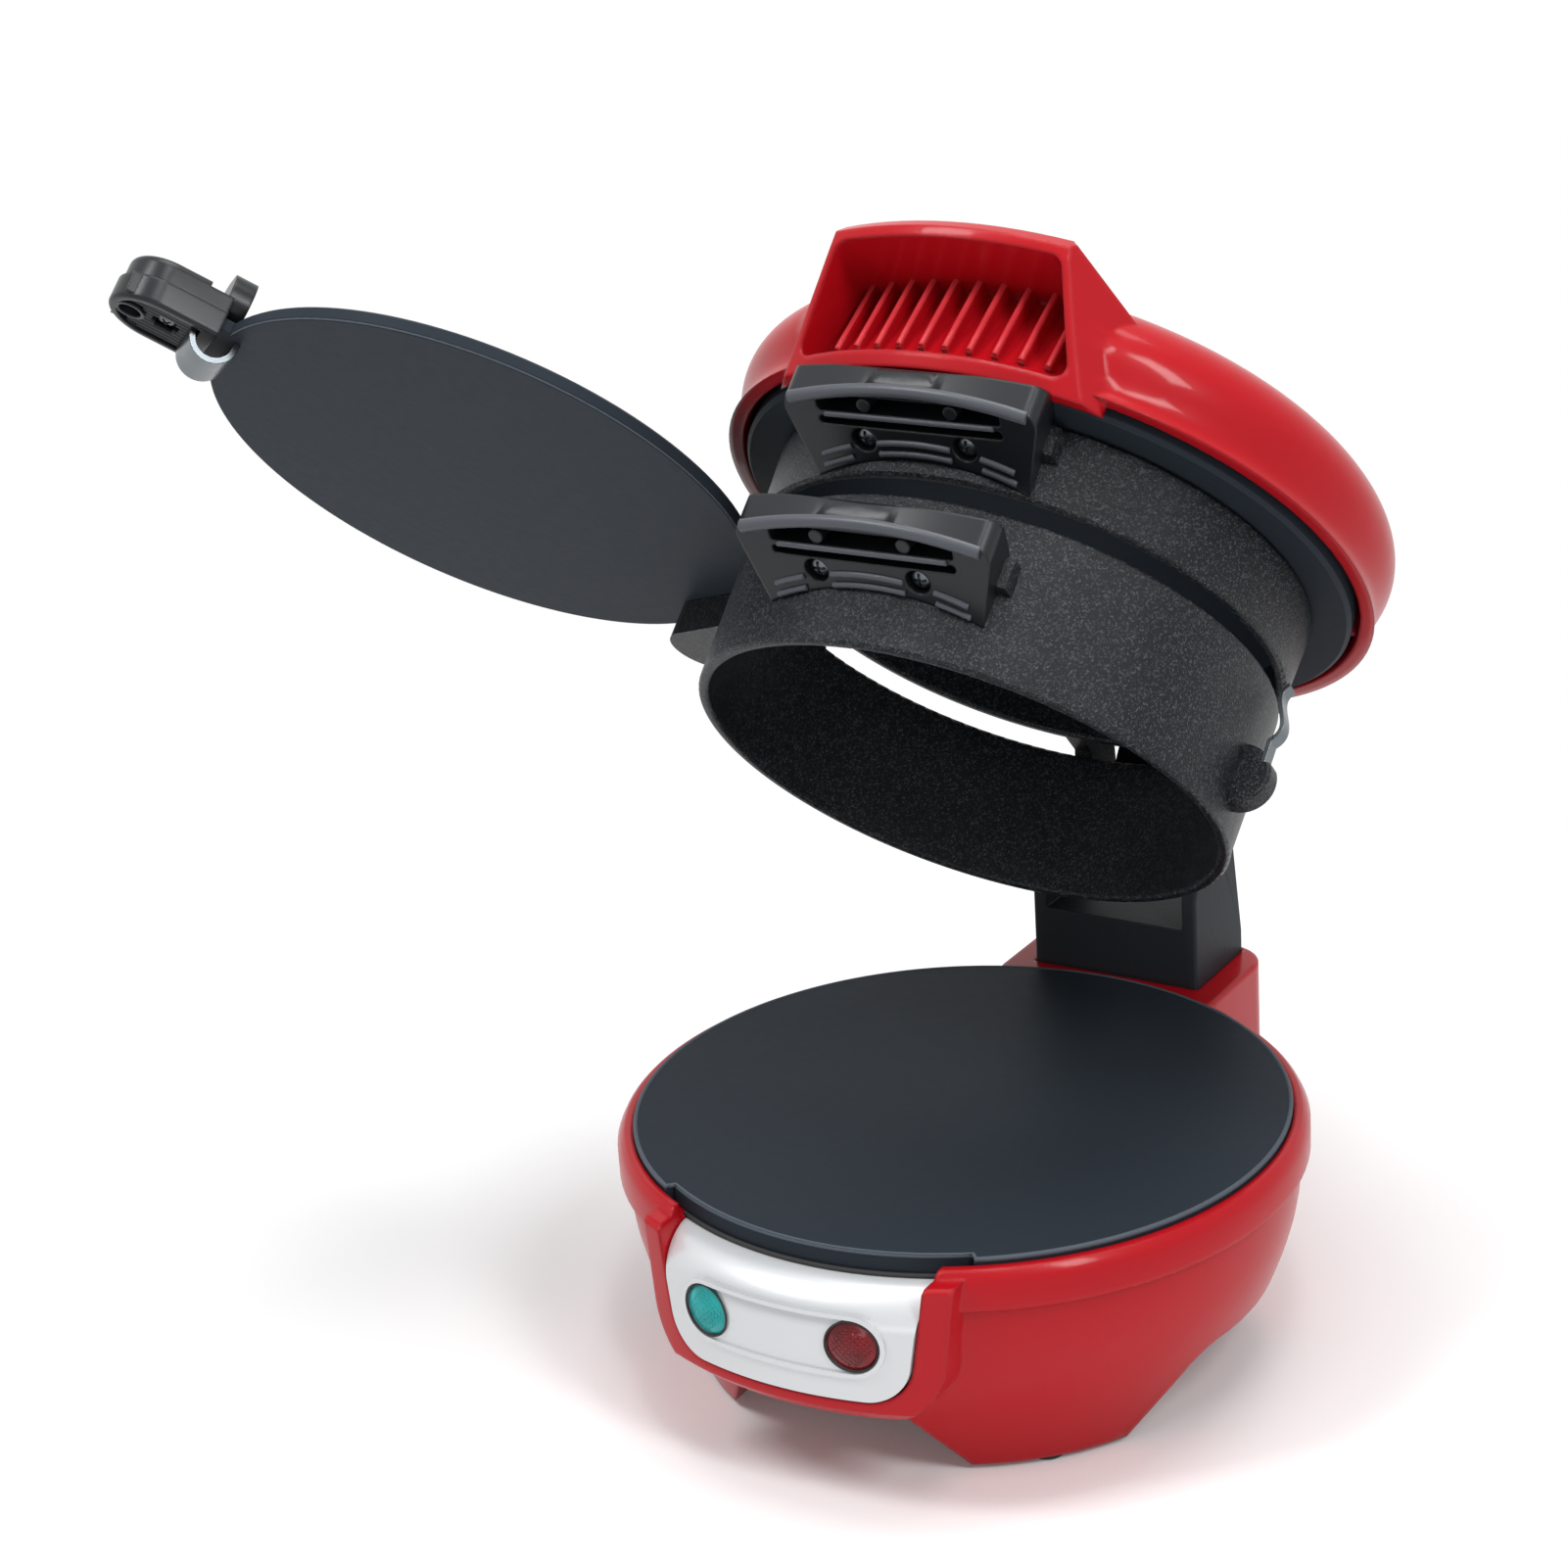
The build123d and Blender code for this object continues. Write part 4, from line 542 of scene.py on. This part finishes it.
# The block's top lies level with the underside of the head.
below = node(screw_tree, MATH, {0: block, 1: -0.5}, operation="MULTIPLY").outputs[0]
carved = node(
    screw_tree,
    "GeometryNodeMeshBoolean",
    {"Mesh 1": dome.outputs[0]},
    operation="DIFFERENCE",
    solver="EXACT",
)
for x, y, z, level in (
    (long, wide, high, high),
    (wide, long, high, high),
    (block, block, block, below),
):
    size = node(screw_tree, XYZ, {"X": x, "Y": y, "Z": z}).outputs[0]
    middle = node(screw_tree, XYZ, {"Z": level}).outputs[0]
    bar = node(screw_tree, "GeometryNodeMeshCube", {"Size": size}).outputs["Mesh"]
    cutter = node(screw_tree, MOVE, {"Geometry": bar, "Translation": middle})
    feed(carved, {"Mesh 2": cutter.outputs[0]})
print("cutters:", len(carved.inputs["Mesh 2"].links))

# %% [markdown]
# The shank is a plain rod below the head. It is hidden in its hole, so a thread would be wasted on
# it. Head and shank together are set on every place.

# %% Shank and places of the screws
half_down = node(screw_tree, MATH, {0: given["Shank Length"], 1: -0.5}, operation="MULTIPLY")
middle = node(screw_tree, XYZ, {"Z": half_down.outputs[0]}).outputs[0]
rod = node(
    screw_tree,
    "GeometryNodeMeshCylinder",
    {"Vertices": 20, "Radius": given["Shank Radius"], "Depth": given["Shank Length"]},
)
shank = node(screw_tree, MOVE, {"Geometry": rod.outputs["Mesh"], "Translation": middle})
screw = node(screw_tree, "GeometryNodeJoinGeometry", {0: carved.outputs["Mesh"]})
feed(screw, {0: shank.outputs[0]})
spread = node(
    screw_tree,
    "GeometryNodeInstanceOnPoints",
    {"Points": given["Places"], "Instance": screw.outputs[0]},
)
close_recipe(screw_tree, spread.outputs[0], given)

# %% [markdown]
# The CAD frame says where each screw sits and how big it is. Its loose pieces are measured along
# the direction in which the heads look, which gives the head, the shank and their radii.

# %% Measure the CAD screws
LEVEL_GAP = 0.01 * MM


def islands(work):
    """Places of the points of each loose piece of a mesh."""
    work.verts.ensure_lookup_table()
    work.verts.index_update()
    left = set(range(len(work.verts)))
    while left:
        found = [left.pop()]
        for index in found:  # the list grows while it is walked
            links = work.verts[index].link_edges
            near = {edge.other_vert(work.verts[index]).index for edge in links} & left
            left -= near
            found.extend(near)
        yield [work.verts[index].co.copy() for index in found]


def measure_screws(name, look):
    """Head centres in a frame whose Z looks out of the head, the sizes, and that frame."""
    turn = look.to_track_quat("Z", "Y").to_matrix().to_4x4()
    work = bmesh.new()
    work.from_mesh(nodes[name].data)
    bmesh.ops.remove_doubles(work, verts=work.verts, dist=SAME_POINT)
    work.transform(turn.inverted())
    seats = []
    for spots in islands(work):
        x, y = ((min(s[i] for s in spots) + max(s[i] for s in spots)) / 2 for i in (0, 1))
        radii = [math.hypot(s.x - x, s.y - y) for s in spots]
        low, top = min(s.z for s in spots), max(s.z for s in spots)
        head = max(radii)
        shank = max(r for r, s in zip(radii, spots) if s.z < low + LEVEL_GAP)
        seat = min(s.z for r, s in zip(radii, spots) if r > (head + shank) / 2)
        seats.append((x, y, seat))
    work.free()
    # Screws of one name are alike, so the last one's sizes stand for all.
    sizes = {
        "Head Radius": head,
        "Head Height": top - seat,
        "Shank Radius": shank,
        "Shank Length": seat - low,
    }
    return seats, sizes, turn


print("levels count as one within mm:", LEVEL_GAP / MM)

# %% [markdown]
# Screws of one name look the same way: down under the base, up in the cover, forwards in its
# hinge arm, and square to the sloping underside of the ring grips.

# %% Grow the screws
GRIP_RISE = 0.5  # rise of the grips' underside for each millimetre outwards
DOWN, UP, FRONT = Vector((0, 0, -1)), Vector((0, 0, 1)), Vector((0, -1, 0))
tip = LIFT.to_3x3()
grip_face = tip @ Vector((0, -GRIP_RISE, -1)).normalized()
SCREWS = {
    "cover_screws": DOWN,
    "plate_screws": DOWN,
    "lower_shield_screws": DOWN,
    "upper_shield_screws": tip @ UP,
    "hinge_arm_screws": tip @ FRONT,
    "lower_handle_screws": grip_face,
    "upper_handle_screws": grip_face,
    "plate_handle_screws": tip @ DOWN,
}
for name, look in SCREWS.items():
    seats, sizes, turn = measure_screws(name, look)
    mesh = grow(screw_tree, seats, [], sizes, slot_of_node[name], turn)
    shade(mesh, hard_angle=35.0)
    add_piece(name + "_turned", mesh, body_of_node[name], slot_of_node[name], name)
    print(name, len(seats), "head radius to shank length in mm:", in_mm(sizes.values()))

# %% [markdown]
# Many edges on the real maker end in a slim round bead, where a sharp edge would not fill with
# plastic or would cut the fingers. One tree makes all of them: it turns lines into curves and
# sweeps a small circle along each. The lines come from short formulas.

# %% Bead tree
bead_tree, given = recipe("beads", {"Bead Radius": 0.6 * MM})
lines = node(bead_tree, "GeometryNodeMeshToCurve", {"Mesh": given["Places"]})
circle = node(
    bead_tree,
    "GeometryNodeCurvePrimitiveCircle",
    {"Resolution": 12, "Radius": given["Bead Radius"]},
)
swept = node(
    bead_tree,
    "GeometryNodeCurveToMesh",
    {"Curve": lines.outputs[0], "Profile Curve": circle.outputs[0], "Fill Caps": True},
)
close_recipe(bead_tree, swept.outputs[0], given)


# %% Beads and their runs
def add_beads(name, runs, radius_mm, body, slot, place, closed=False, highlit=False):
    """Beads along several runs of points in mm, as one piece on one body."""
    points, edges = [], []
    for run in runs:
        first = len(points)
        points.extend([(x * MM, y * MM, z * MM) for x, y, z in run])
        edges.extend([(i, i + 1) for i in range(first, len(points) - 1)])
        if closed:
            edges.append((len(points) - 1, first))
    mesh = grow(bead_tree, points, edges, {"Bead Radius": radius_mm * MM}, slot, place)
    shade(mesh, hard_angle=40.0)
    # Beads marked here get their finish's painted highlight, a paler shade.
    if highlit:
        painted_highlight = mesh.attributes.new(HIGHLIGHT_MARK, "FLOAT", "POINT")
        painted_highlight.data.foreach_set("value", [1.0] * len(mesh.vertices))
    add_piece(name, mesh, body, slot)
    print(name, "runs:", len(runs), "faces:", len(mesh.polygons))


def span(low, high, count):
    """Evenly spaced values from low to high."""
    return [low + (high - low) * i / (count - 1) for i in range(count)]


def row(count, pitch):
    """Evenly pitched values on both sides of nought."""
    return [(i - (count - 1) / 2) * pitch for i in range(count)]


def arc(radius, low, high, count, level):
    """Points about the axis, at angles in degrees from the front."""
    aims = [math.radians(angle) for angle in span(low, high, count)]
    return [(radius * math.sin(aim), -radius * math.cos(aim), level) for aim in aims]


def full_circle(radius, count, level):
    """Points all round the axis, each only once."""
    return arc(radius, 0.0, 360.0 * (count - 1) / count, count, level)


print("a row of three:", row(3, 1.5), "a span of three:", span(0, 3, 3))

# %% [markdown]
# Ten upright ribs stand on the back wall of the scoop under the cover's hood, and their noses are
# round. The beads lie on the same cone as the ribs of the moulding.

# %% Noses of the scoop's ribs
RIB_COUNT, RIB_PITCH, RIB_NOSE = 10, 4.9, 0.6
RIB_ENDS = ((63.1, 107.0), (59.65, 123.9))  # radius and level of the cone at the foot and the head
noses = [
    [(x, -math.sqrt(radius**2 - x**2), level) for radius, level in RIB_ENDS]
    for x in row(RIB_COUNT, RIB_PITCH)
]
# The noses are marked for the painted highlight of the red finish.
add_beads("scoop_rib_noses", noses, RIB_NOSE, "cover", "red_shell", LIFT, highlit=True)

# %% [markdown]
# The underside of each ring's grip slopes up and out. It has a thick round lip along its front,
# a slim rib between the trays and the screws, and two slim ledges beside the ring, which stop
# short of the screw holes.

# %% Runs on the ring grips
GRIP_REACH, GRIP_HALF, GRIP_SAG = 13.8, 27.0, 3.6
GRIP_ARC = (GRIP_HALF**2 + GRIP_SAG**2) / (2 * GRIP_SAG)
LIP_BACK, LIP_HALF, LIP_SINK, LIP_THICK = 1.1, 24.6, 0.3, 1.3
CROSS_OUT, CROSS_HALF, CROSS_THICK = 7.4, 17.5, 0.6
LEDGES_OUT, LEDGE_HALF, LEDGE_THICK = (1.0, 3.0), 20.0, 0.65
SCREW_X, SCREW_CLEAR = 10.5, 3.0
INSIDE, OUTSIDE = SCREW_X - SCREW_CLEAR, SCREW_X + SCREW_CLEAR
LEDGE_PARTS = ((-LEDGE_HALF, -OUTSIDE), (-INSIDE, INSIDE), (OUTSIDE, LEDGE_HALF))
LIP_POINTS, LEDGE_POINTS = 25, 7


def lip_run(root, base):
    """Run close behind a grip's curved front, sunk a little into its underside."""
    run = []
    for x in span(-LIP_HALF, LIP_HALF, LIP_POINTS):
        sag = GRIP_ARC - math.sqrt(GRIP_ARC**2 - x**2)
        out = GRIP_REACH - LIP_BACK - sag
        run.append((x, -root - out, base + out * GRIP_RISE + LIP_SINK))
    return run


def ledge_run(root, base, out, low, high):
    """Run beside the ring, following its round wall on the sloping underside."""
    run = []
    for x in span(low, high, LEDGE_POINTS):
        reach = math.sqrt((root + out) ** 2 - x**2)
        run.append((x, -reach, base + (reach - root) * GRIP_RISE))
    return run


print("front of the grips, arc radius in mm:", round(GRIP_ARC, 1))

# %% Lips, ribs and ledges of the ring grips
GRIPS = {"lower_ring": (53.3, 61.3), "upper_ring": (54.3, 88.3)}  # root radius and level in mm
for body, (root, base) in GRIPS.items():
    level = base + CROSS_OUT * GRIP_RISE
    cross = [(x, -root - CROSS_OUT, level) for x in (-CROSS_HALF, CROSS_HALF)]
    ledges = [ledge_run(root, base, out, *part) for out in LEDGES_OUT for part in LEDGE_PARTS]
    for kind, runs, thick in (
        ("lip", [lip_run(root, base)], LIP_THICK),
        ("rib", [cross], CROSS_THICK),
        ("ledges", ledges, LEDGE_THICK),
    ):
        name = f"{body}_grip_{kind}"
        # Every grip bead is marked for the painted highlight.
        add_beads(name, runs, thick, body, "handle_phenolic", LIFT, highlit=True)

# %% [markdown]
# The cooking plate's handle is hollow below. Long ribs fill the hollow side by side, and stop
# round the two screw holes, so the steel strip inside hardly shows. The handle leans a little to
# one side of the plate's middle line.

# %% Ribs in the cooking plate's handle
HANDLE_TURN = Matrix.Rotation(math.radians(-9.0), 4, "Z")
HANDLE_ROOT, HANDLE_TIP, HANDLE_HALF = 63.3, 71.25, 7.4
FILL_COUNT, FILL_PITCH, FILL_LEVEL, FILL_THICK = 10, 1.5, 81.35, 0.78
HANDLE_SCREWS, SCREW_HOLE = (68.8, 76.0), 2.9
ribs = []
for across in row(FILL_COUNT, FILL_PITCH):
    stops = [HANDLE_ROOT]
    if abs(across) < SCREW_HOLE:
        reach = math.sqrt(SCREW_HOLE**2 - across**2)
        for along in HANDLE_SCREWS:
            stops += [along - reach, along + reach]
    stops.append(HANDLE_TIP + math.sqrt(HANDLE_HALF**2 - across**2) - FILL_THICK)
    for low, high in zip(stops[::2], stops[1::2]):
        if high - low > FILL_THICK:
            ribs.append([(low, across, FILL_LEVEL), (high, across, FILL_LEVEL)])
add_beads(
    "plate_handle_ribs",
    ribs,
    FILL_THICK,
    "cooking_plate",
    "handle_phenolic",
    SWING @ HANDLE_TURN,
)

# %% [markdown]
# A slim bead rounds the upper rim of the lower heating plate, whose front is cut back behind the
# panel, and another one the lower rim of the cooking plate. Both lie almost inside the casting,
# and both carry a painted highlight: the coat is painted paler along them.

# %% Rims of the plates, with a painted highlight
PLATE_TOP, RIM_THICK, RIM_IN = 50.0, 0.5, 0.38
RIM_ARCS = (
    # radius, first and last angle, points
    (62.6, -31.0, 31.0, 31),
    (64.4, 31.4, 328.6, 145),
)
rim = []
for radius, low, high, count in RIM_ARCS:
    rim += arc(radius - RIM_IN, low, high, count, PLATE_TOP - RIM_IN)
add_beads(
    "heating_plate_rim", [rim], RIM_THICK, "base", "nonstick_plate", AXIS, closed=True, highlit=True
)

COOK_RADIUS, COOK_POINTS, COOK_LEVEL, COOK_THICK = 57.6, 144, 82.2, 0.28
add_beads(
    "cooking_plate_rim",
    [full_circle(COOK_RADIUS, COOK_POINTS, COOK_LEVEL)],
    COOK_THICK,
    "cooking_plate",
    "nonstick_plate",
    SWING,
    closed=True,
    highlit=True,
)

# %% [markdown]
# A black silicone seal closes the gap between the heating plate's stepped front and the rolled
# edge of the silver panel.

# %% Seal above the panel
SEAL_RADIUS, SEAL_LEVEL, SEAL_HALF, SEAL_THICK, SEAL_POINTS = 63.05, 45.95, 26.5, 0.5, 41
seal = arc(SEAL_RADIUS, -SEAL_HALF, SEAL_HALF, SEAL_POINTS, SEAL_LEVEL)
add_beads("panel_seal", [seal], SEAL_THICK, "base", "pad_rubber", AXIS)

# %% [markdown]
# Each lens is a turned form: a straight barrel that passes through the panel, a small round and
# a shallow dome. Its outline is spun round the axis with bmesh, which closes it in one step.

# %% Turn a lens
LENS_RADIUS, LENS_DEEP, LENS_ROUND, LENS_RISE, LENS_SINK = 5.0, 6.9, 0.6, 1.1, 0.3
LENS_SIDES, DOME_POINTS = 48, 8
DOME_FOOT = LENS_RADIUS - LENS_ROUND
DOME_ARC = (DOME_FOOT**2 + LENS_RISE**2) / (2 * LENS_RISE)


def lens_outline():
    """(radius, height) points in mm from the middle of the back to the top of the dome."""
    shoulder = -LENS_SINK - LENS_ROUND
    outline = [(0, -LENS_DEEP), (LENS_RADIUS, -LENS_DEEP), (LENS_RADIUS, shoulder)]
    for angle in (30, 60, 90):
        aim = math.radians(angle)
        outline.append(
            (DOME_FOOT + LENS_ROUND * math.cos(aim), shoulder + LENS_ROUND * math.sin(aim))
        )
    for radius in span(DOME_FOOT, 0, DOME_POINTS)[1:]:
        fall = DOME_ARC - math.sqrt(DOME_ARC**2 - radius**2)
        outline.append((radius, LENS_RISE - LENS_SINK - fall))
    return outline


def turned_lens():
    """Closed mesh of one lens round the local Z axis, in metres."""
    work = bmesh.new()
    verts = [work.verts.new((radius * MM, 0, height * MM)) for radius, height in lens_outline()]
    edges = [work.edges.new(pair) for pair in zip(verts, verts[1:])]
    bmesh.ops.spin(
        work,
        geom=verts + edges,
        cent=(0, 0, 0),
        axis=(0, 0, 1),
        angle=2 * math.pi,
        steps=LENS_SIDES,
        use_merge=True,
    )
    bmesh.ops.remove_doubles(work, verts=work.verts, dist=SAME_POINT)
    bmesh.ops.recalc_face_normals(work, faces=work.faces)
    mesh = bpy.data.meshes.new("lens")
    work.to_mesh(mesh)
    work.free()
    return mesh


print("points of the lens outline:", len(lens_outline()))

# %% [markdown]
# The two lenses stand in the curved panel, each square to it, on both sides of its middle. A thin
# black collar closes the gap round each.

# %% Set the lenses and their collars
LENS_FACE, LENS_HEIGHT, LENS_ANGLE = 71.9, 35.4, 12.5
COLLAR_RADIUS, COLLAR_THICK, COLLAR_LEVEL = 5.12, 0.2, -0.15
LENS_PLACES = {}
for name, angle in (("ready_lens", -LENS_ANGLE), ("power_lens", LENS_ANGLE)):
    aim = math.radians(angle)
    outwards = Vector((math.sin(aim), -math.cos(aim), 0))
    stand = Matrix.Translation(outwards * LENS_FACE * MM + UP * LENS_HEIGHT * MM)
    LENS_PLACES[name] = AXIS @ stand @ outwards.to_track_quat("Z", "Y").to_matrix().to_4x4()
    mesh = turned_lens()
    mesh.transform(LENS_PLACES[name])
    shade(mesh, hard_angle=40.0)
    add_piece(name + "_domed", mesh, "base", slot_of_node[name], name)
    print(name, "faces:", len(mesh.polygons))

collar = full_circle(COLLAR_RADIUS, LENS_SIDES, COLLAR_LEVEL)
for name, place in LENS_PLACES.items():
    add_beads(name + "_collar", [collar], COLLAR_THICK, "base", "pad_rubber", place, closed=True)

# %% [markdown]
# The inside of a real lens carries little pyramids that spread the lamp's light, 0.5 mm apart or
# less. They are drawn here on the dome and 0.8 mm apart, coarse enough to show. The tree lays out
# a square grid and drops the points outside a circle.

# %% Field of the lens prisms
prism_tree, given = recipe(
    "lens_prisms",
    {
        "Field Radius": 3.7 * MM,
        "Pitch": 0.8 * MM,
        "Prism Height": 0.22 * MM,
        "Dome Arc": DOME_ARC * MM,
        "Dome Top": (LENS_RISE - LENS_SINK) * MM,
    },
)
across = node(prism_tree, MATH, {0: given["Field Radius"], 1: 2.0}, operation="MULTIPLY").outputs[0]
steps = node(prism_tree, MATH, {0: across, 1: given["Pitch"]}, operation="DIVIDE").outputs[0]
count = node(prism_tree, MATH, {0: steps, 1: 1.0}, operation="ADD").outputs[0]
grid = node(
    prism_tree,
    "GeometryNodeMeshGrid",
    {"Size X": across, "Size Y": across, "Vertices X": count, "Vertices Y": count},
)
point = node(prism_tree, "GeometryNodeInputPosition").outputs[0]
reach = node(prism_tree, "ShaderNodeVectorMath", {0: point}, operation="LENGTH").outputs["Value"]
outside = node(prism_tree, MATH, {0: reach, 1: given["Field Radius"]}, operation="GREATER_THAN")
kept = node(
    prism_tree,
    "GeometryNodeDeleteGeometry",
    {"Geometry": grid.outputs["Mesh"], "Selection": outside.outputs[0]},
)
print("grid, middle distance and cut:", len(prism_tree.nodes), "nodes")

# %% [markdown]
# The points that are left sink along the dome's curve. A point's distance from the middle over
# the dome's radius is the sine of its lean, and the point lies below the top by that radius times
# one less the cosine of the lean. Each carries a blunt four-sided cone, almost as wide as the
# pitch.

# %% Prisms on the dome
PRISM_FILL, PRISM_TIP = 0.66, 0.05 * MM
sine = node(prism_tree, MATH, {0: reach, 1: given["Dome Arc"]}, operation="DIVIDE").outputs[0]
lean = node(prism_tree, MATH, {0: sine}, operation="ARCSINE").outputs[0]
cosine = node(prism_tree, MATH, {0: lean}, operation="COSINE").outputs[0]
drop = node(prism_tree, MATH, {0: cosine, 1: 1.0}, operation="SUBTRACT").outputs[0]
fall = node(prism_tree, MATH, {0: drop, 1: given["Dome Arc"]}, operation="MULTIPLY").outputs[0]
level = node(prism_tree, MATH, {0: fall, 1: given["Dome Top"]}, operation="ADD").outputs[0]
raised = node(
    prism_tree,
    "GeometryNodeSetPosition",
    {"Geometry": kept.outputs[0], "Offset": node(prism_tree, XYZ, {"Z": level}).outputs[0]},
)
foot = node(prism_tree, MATH, {0: given["Pitch"], 1: PRISM_FILL}, operation="MULTIPLY").outputs[0]
cone = node(
    prism_tree,
    "GeometryNodeMeshCone",
    {
        "Vertices": 4,
        "Radius Top": PRISM_TIP,
        "Radius Bottom": foot,
        "Depth": given["Prism Height"],
    },
)
prisms = node(
    prism_tree,
    "GeometryNodeInstanceOnPoints",
    {"Points": raised.outputs[0], "Instance": cone.outputs["Mesh"]},
)
close_recipe(prism_tree, prisms.outputs[0], given)
diagonal = Matrix.Rotation(math.radians(45), 4, "Z")
for name, place in LENS_PLACES.items():
    mesh = grow(prism_tree, [(0, 0, 0)], [], {}, slot_of_node[name], place @ diagonal)
    shade(mesh, hard_angle=10.0)
    add_piece(name + "_prisms", mesh, "base", slot_of_node[name])
    print(name, "faces of the prisms:", len(mesh.polygons))

# %% [markdown]
# The photograph is a plain studio shot on white. The world is plain white where the camera sees
# it, straight, in a reflection or through glass, and a softer light for everything else.

# %% World
WHITE, SOFT_WHITE = colour("FFFFFF"), colour("F4F6F8")


def seen_directly(tree):
    """One for rays that show a thing, straight, reflected or through glass, and nought else."""
    path = node(tree, "ShaderNodeLightPath")
    seen = path.outputs["Is Camera Ray"]
    for ray in ("Is Glossy Ray", "Is Transmission Ray"):
        seen = node(tree, MATH, {0: seen, 1: path.outputs[ray]}, operation="MAXIMUM").outputs[0]
    return seen


world = bpy.data.worlds.new("studio")
bpy.context.scene.world = world
world.use_nodes = True
tree = world.node_tree
tree.nodes.clear()
plain = node(tree, "ShaderNodeBackground", {"Color": WHITE, "Strength": 1.0}).outputs[0]
soft_light = node(tree, "ShaderNodeBackground", {"Color": SOFT_WHITE, "Strength": 0.3}).outputs[0]
pick = node(tree, "ShaderNodeMixShader", {0: seen_directly(tree), 1: soft_light, 2: plain})
node(tree, "ShaderNodeOutputWorld", {"Surface": pick.outputs[0]})
print("world nodes:", len(tree.nodes))

# %% [markdown]
# The floor is pale and keeps the soft shadow. Where it is seen, it is lifted a little and fades to
# plain white further out, while the light that it throws back on the object stays that of a pale
# floor.

# %% Floor
HALF_FLOOR = 3.0
FADE_FROM, FADE_TO = 0.14, 0.3
floor_mesh = bpy.data.meshes.new("floor")
corners = [(x * HALF_FLOOR, y * HALF_FLOOR, 0) for x, y in ((-1, -1), (1, -1), (1, 1), (-1, 1))]
floor_mesh.from_pydata(corners, [], [(0, 1, 2, 3)])
floor = bpy.data.objects.new("floor", floor_mesh)
bpy.context.scene.collection.objects.link(floor)
tree, shader, place = finish("floor", "pale_floor", "F6F6F6", roughness=0.9)
away = node(tree, "ShaderNodeVectorMath", {0: place}, operation="LENGTH").outputs["Value"]
fade = node(
    tree,
    "ShaderNodeMapRange",
    {"Value": away, "From Min": FADE_FROM, "From Max": FADE_TO},
    interpolation_type="SMOOTHSTEP",
)
glow = node(tree, "ShaderNodeEmission", {"Color": WHITE, "Strength": 1.0}).outputs[0]
lift = node(tree, "ShaderNodeEmission", {"Color": WHITE, "Strength": 0.06}).outputs[0]
near = node(tree, "ShaderNodeAddShader", {0: shader.outputs[0], 1: lift}).outputs[0]
shown = node(tree, "ShaderNodeMixShader", {0: fade.outputs["Result"], 1: near, 2: glow}).outputs[0]
blend = node(
    tree, "ShaderNodeMixShader", {0: seen_directly(tree), 1: shader.outputs[0], 2: shown}
)
feed(tree.nodes["Material Output"], {"Surface": blend.outputs[0]})
floor_mesh.materials.append(MATERIALS["floor"])
print("floor ready")

# %% [markdown]
# Softboxes stand high in front, at the sides and above, as in a studio. The two upright ones draw
# the tall highlights on the cover, a narrow strip adds one more, and a low wide one fills the
# front of the base.

# %% Lamps
LAMPS = (
    # name, place in metres, level that it faces, width and height, watts
    ("key", (-0.5, -0.55, 1.15), 0.1, (0.3, 0.45), 6.4),
    ("side", (0.85, -0.35, 0.9), 0.1, (0.2, 0.45), 5.2),
    ("top", (0.05, 0.2, 1.2), 0.1, (0.7, 0.7), 8.2),
    ("strip", (0.35, -0.34, 1.1), 0.1, (0.12, 0.3), 1.4),
    ("front", (0.3, -1.0, 0.12), 0.12, (0.5, 0.12), 0.45),
)
for name, spot, faces, size, power in LAMPS:
    lamp = bpy.data.lights.new(name, "AREA")
    lamp.shape = "RECTANGLE"
    lamp.size, lamp.size_y = size
    lamp.energy = power
    holder = bpy.data.objects.new(name, lamp)
    holder.location = spot
    aim = Vector((0, 0, faces)) - Vector(spot)
    holder.rotation_euler = aim.to_track_quat("-Z", "Y").to_euler()
    bpy.context.scene.collection.objects.link(holder)
print("lamps:", len(LAMPS))

# %% [markdown]
# The camera stands a little above the maker and to the right of its front, close enough that the
# lines converge as in the photograph, and is turned slightly about its own axis. Its place is a
# chain of turns: round the maker, up from the floor, about its own axis, and then straight back.

# %% Camera
TARGET = AXIS @ Vector((-25.5 * MM, -16.6 * MM, 118.6 * MM))
AZIMUTH, ELEVATION, ROLL = (math.radians(angle) for angle in (33.1, 20.8, -3.9))
DISTANCE = 652.3 * MM
SENSOR = 36.0  # width in millimetres
FOCAL_SHARE = 2.2  # focal length as a share of that width
lens = bpy.data.cameras.new("camera")
lens.sensor_fit = "HORIZONTAL"
lens.sensor_width = SENSOR
lens.lens = FOCAL_SHARE * SENSOR
lens.clip_start = 10 * MM
camera = bpy.data.objects.new("camera", lens)
camera.matrix_world = (
    Matrix.Translation(TARGET)
    @ Matrix.Rotation(AZIMUTH, 4, "Z")
    @ Matrix.Rotation(math.pi / 2 - ELEVATION, 4, "X")
    @ Matrix.Rotation(ROLL, 4, "Z")
    @ Matrix.Translation((0, 0, DISTANCE))
)
bpy.context.scene.collection.objects.link(camera)
bpy.context.scene.camera = camera
bpy.context.scene.view_settings.view_transform = "Standard"
print("camera at mm:", in_mm(camera.matrix_world.translation))
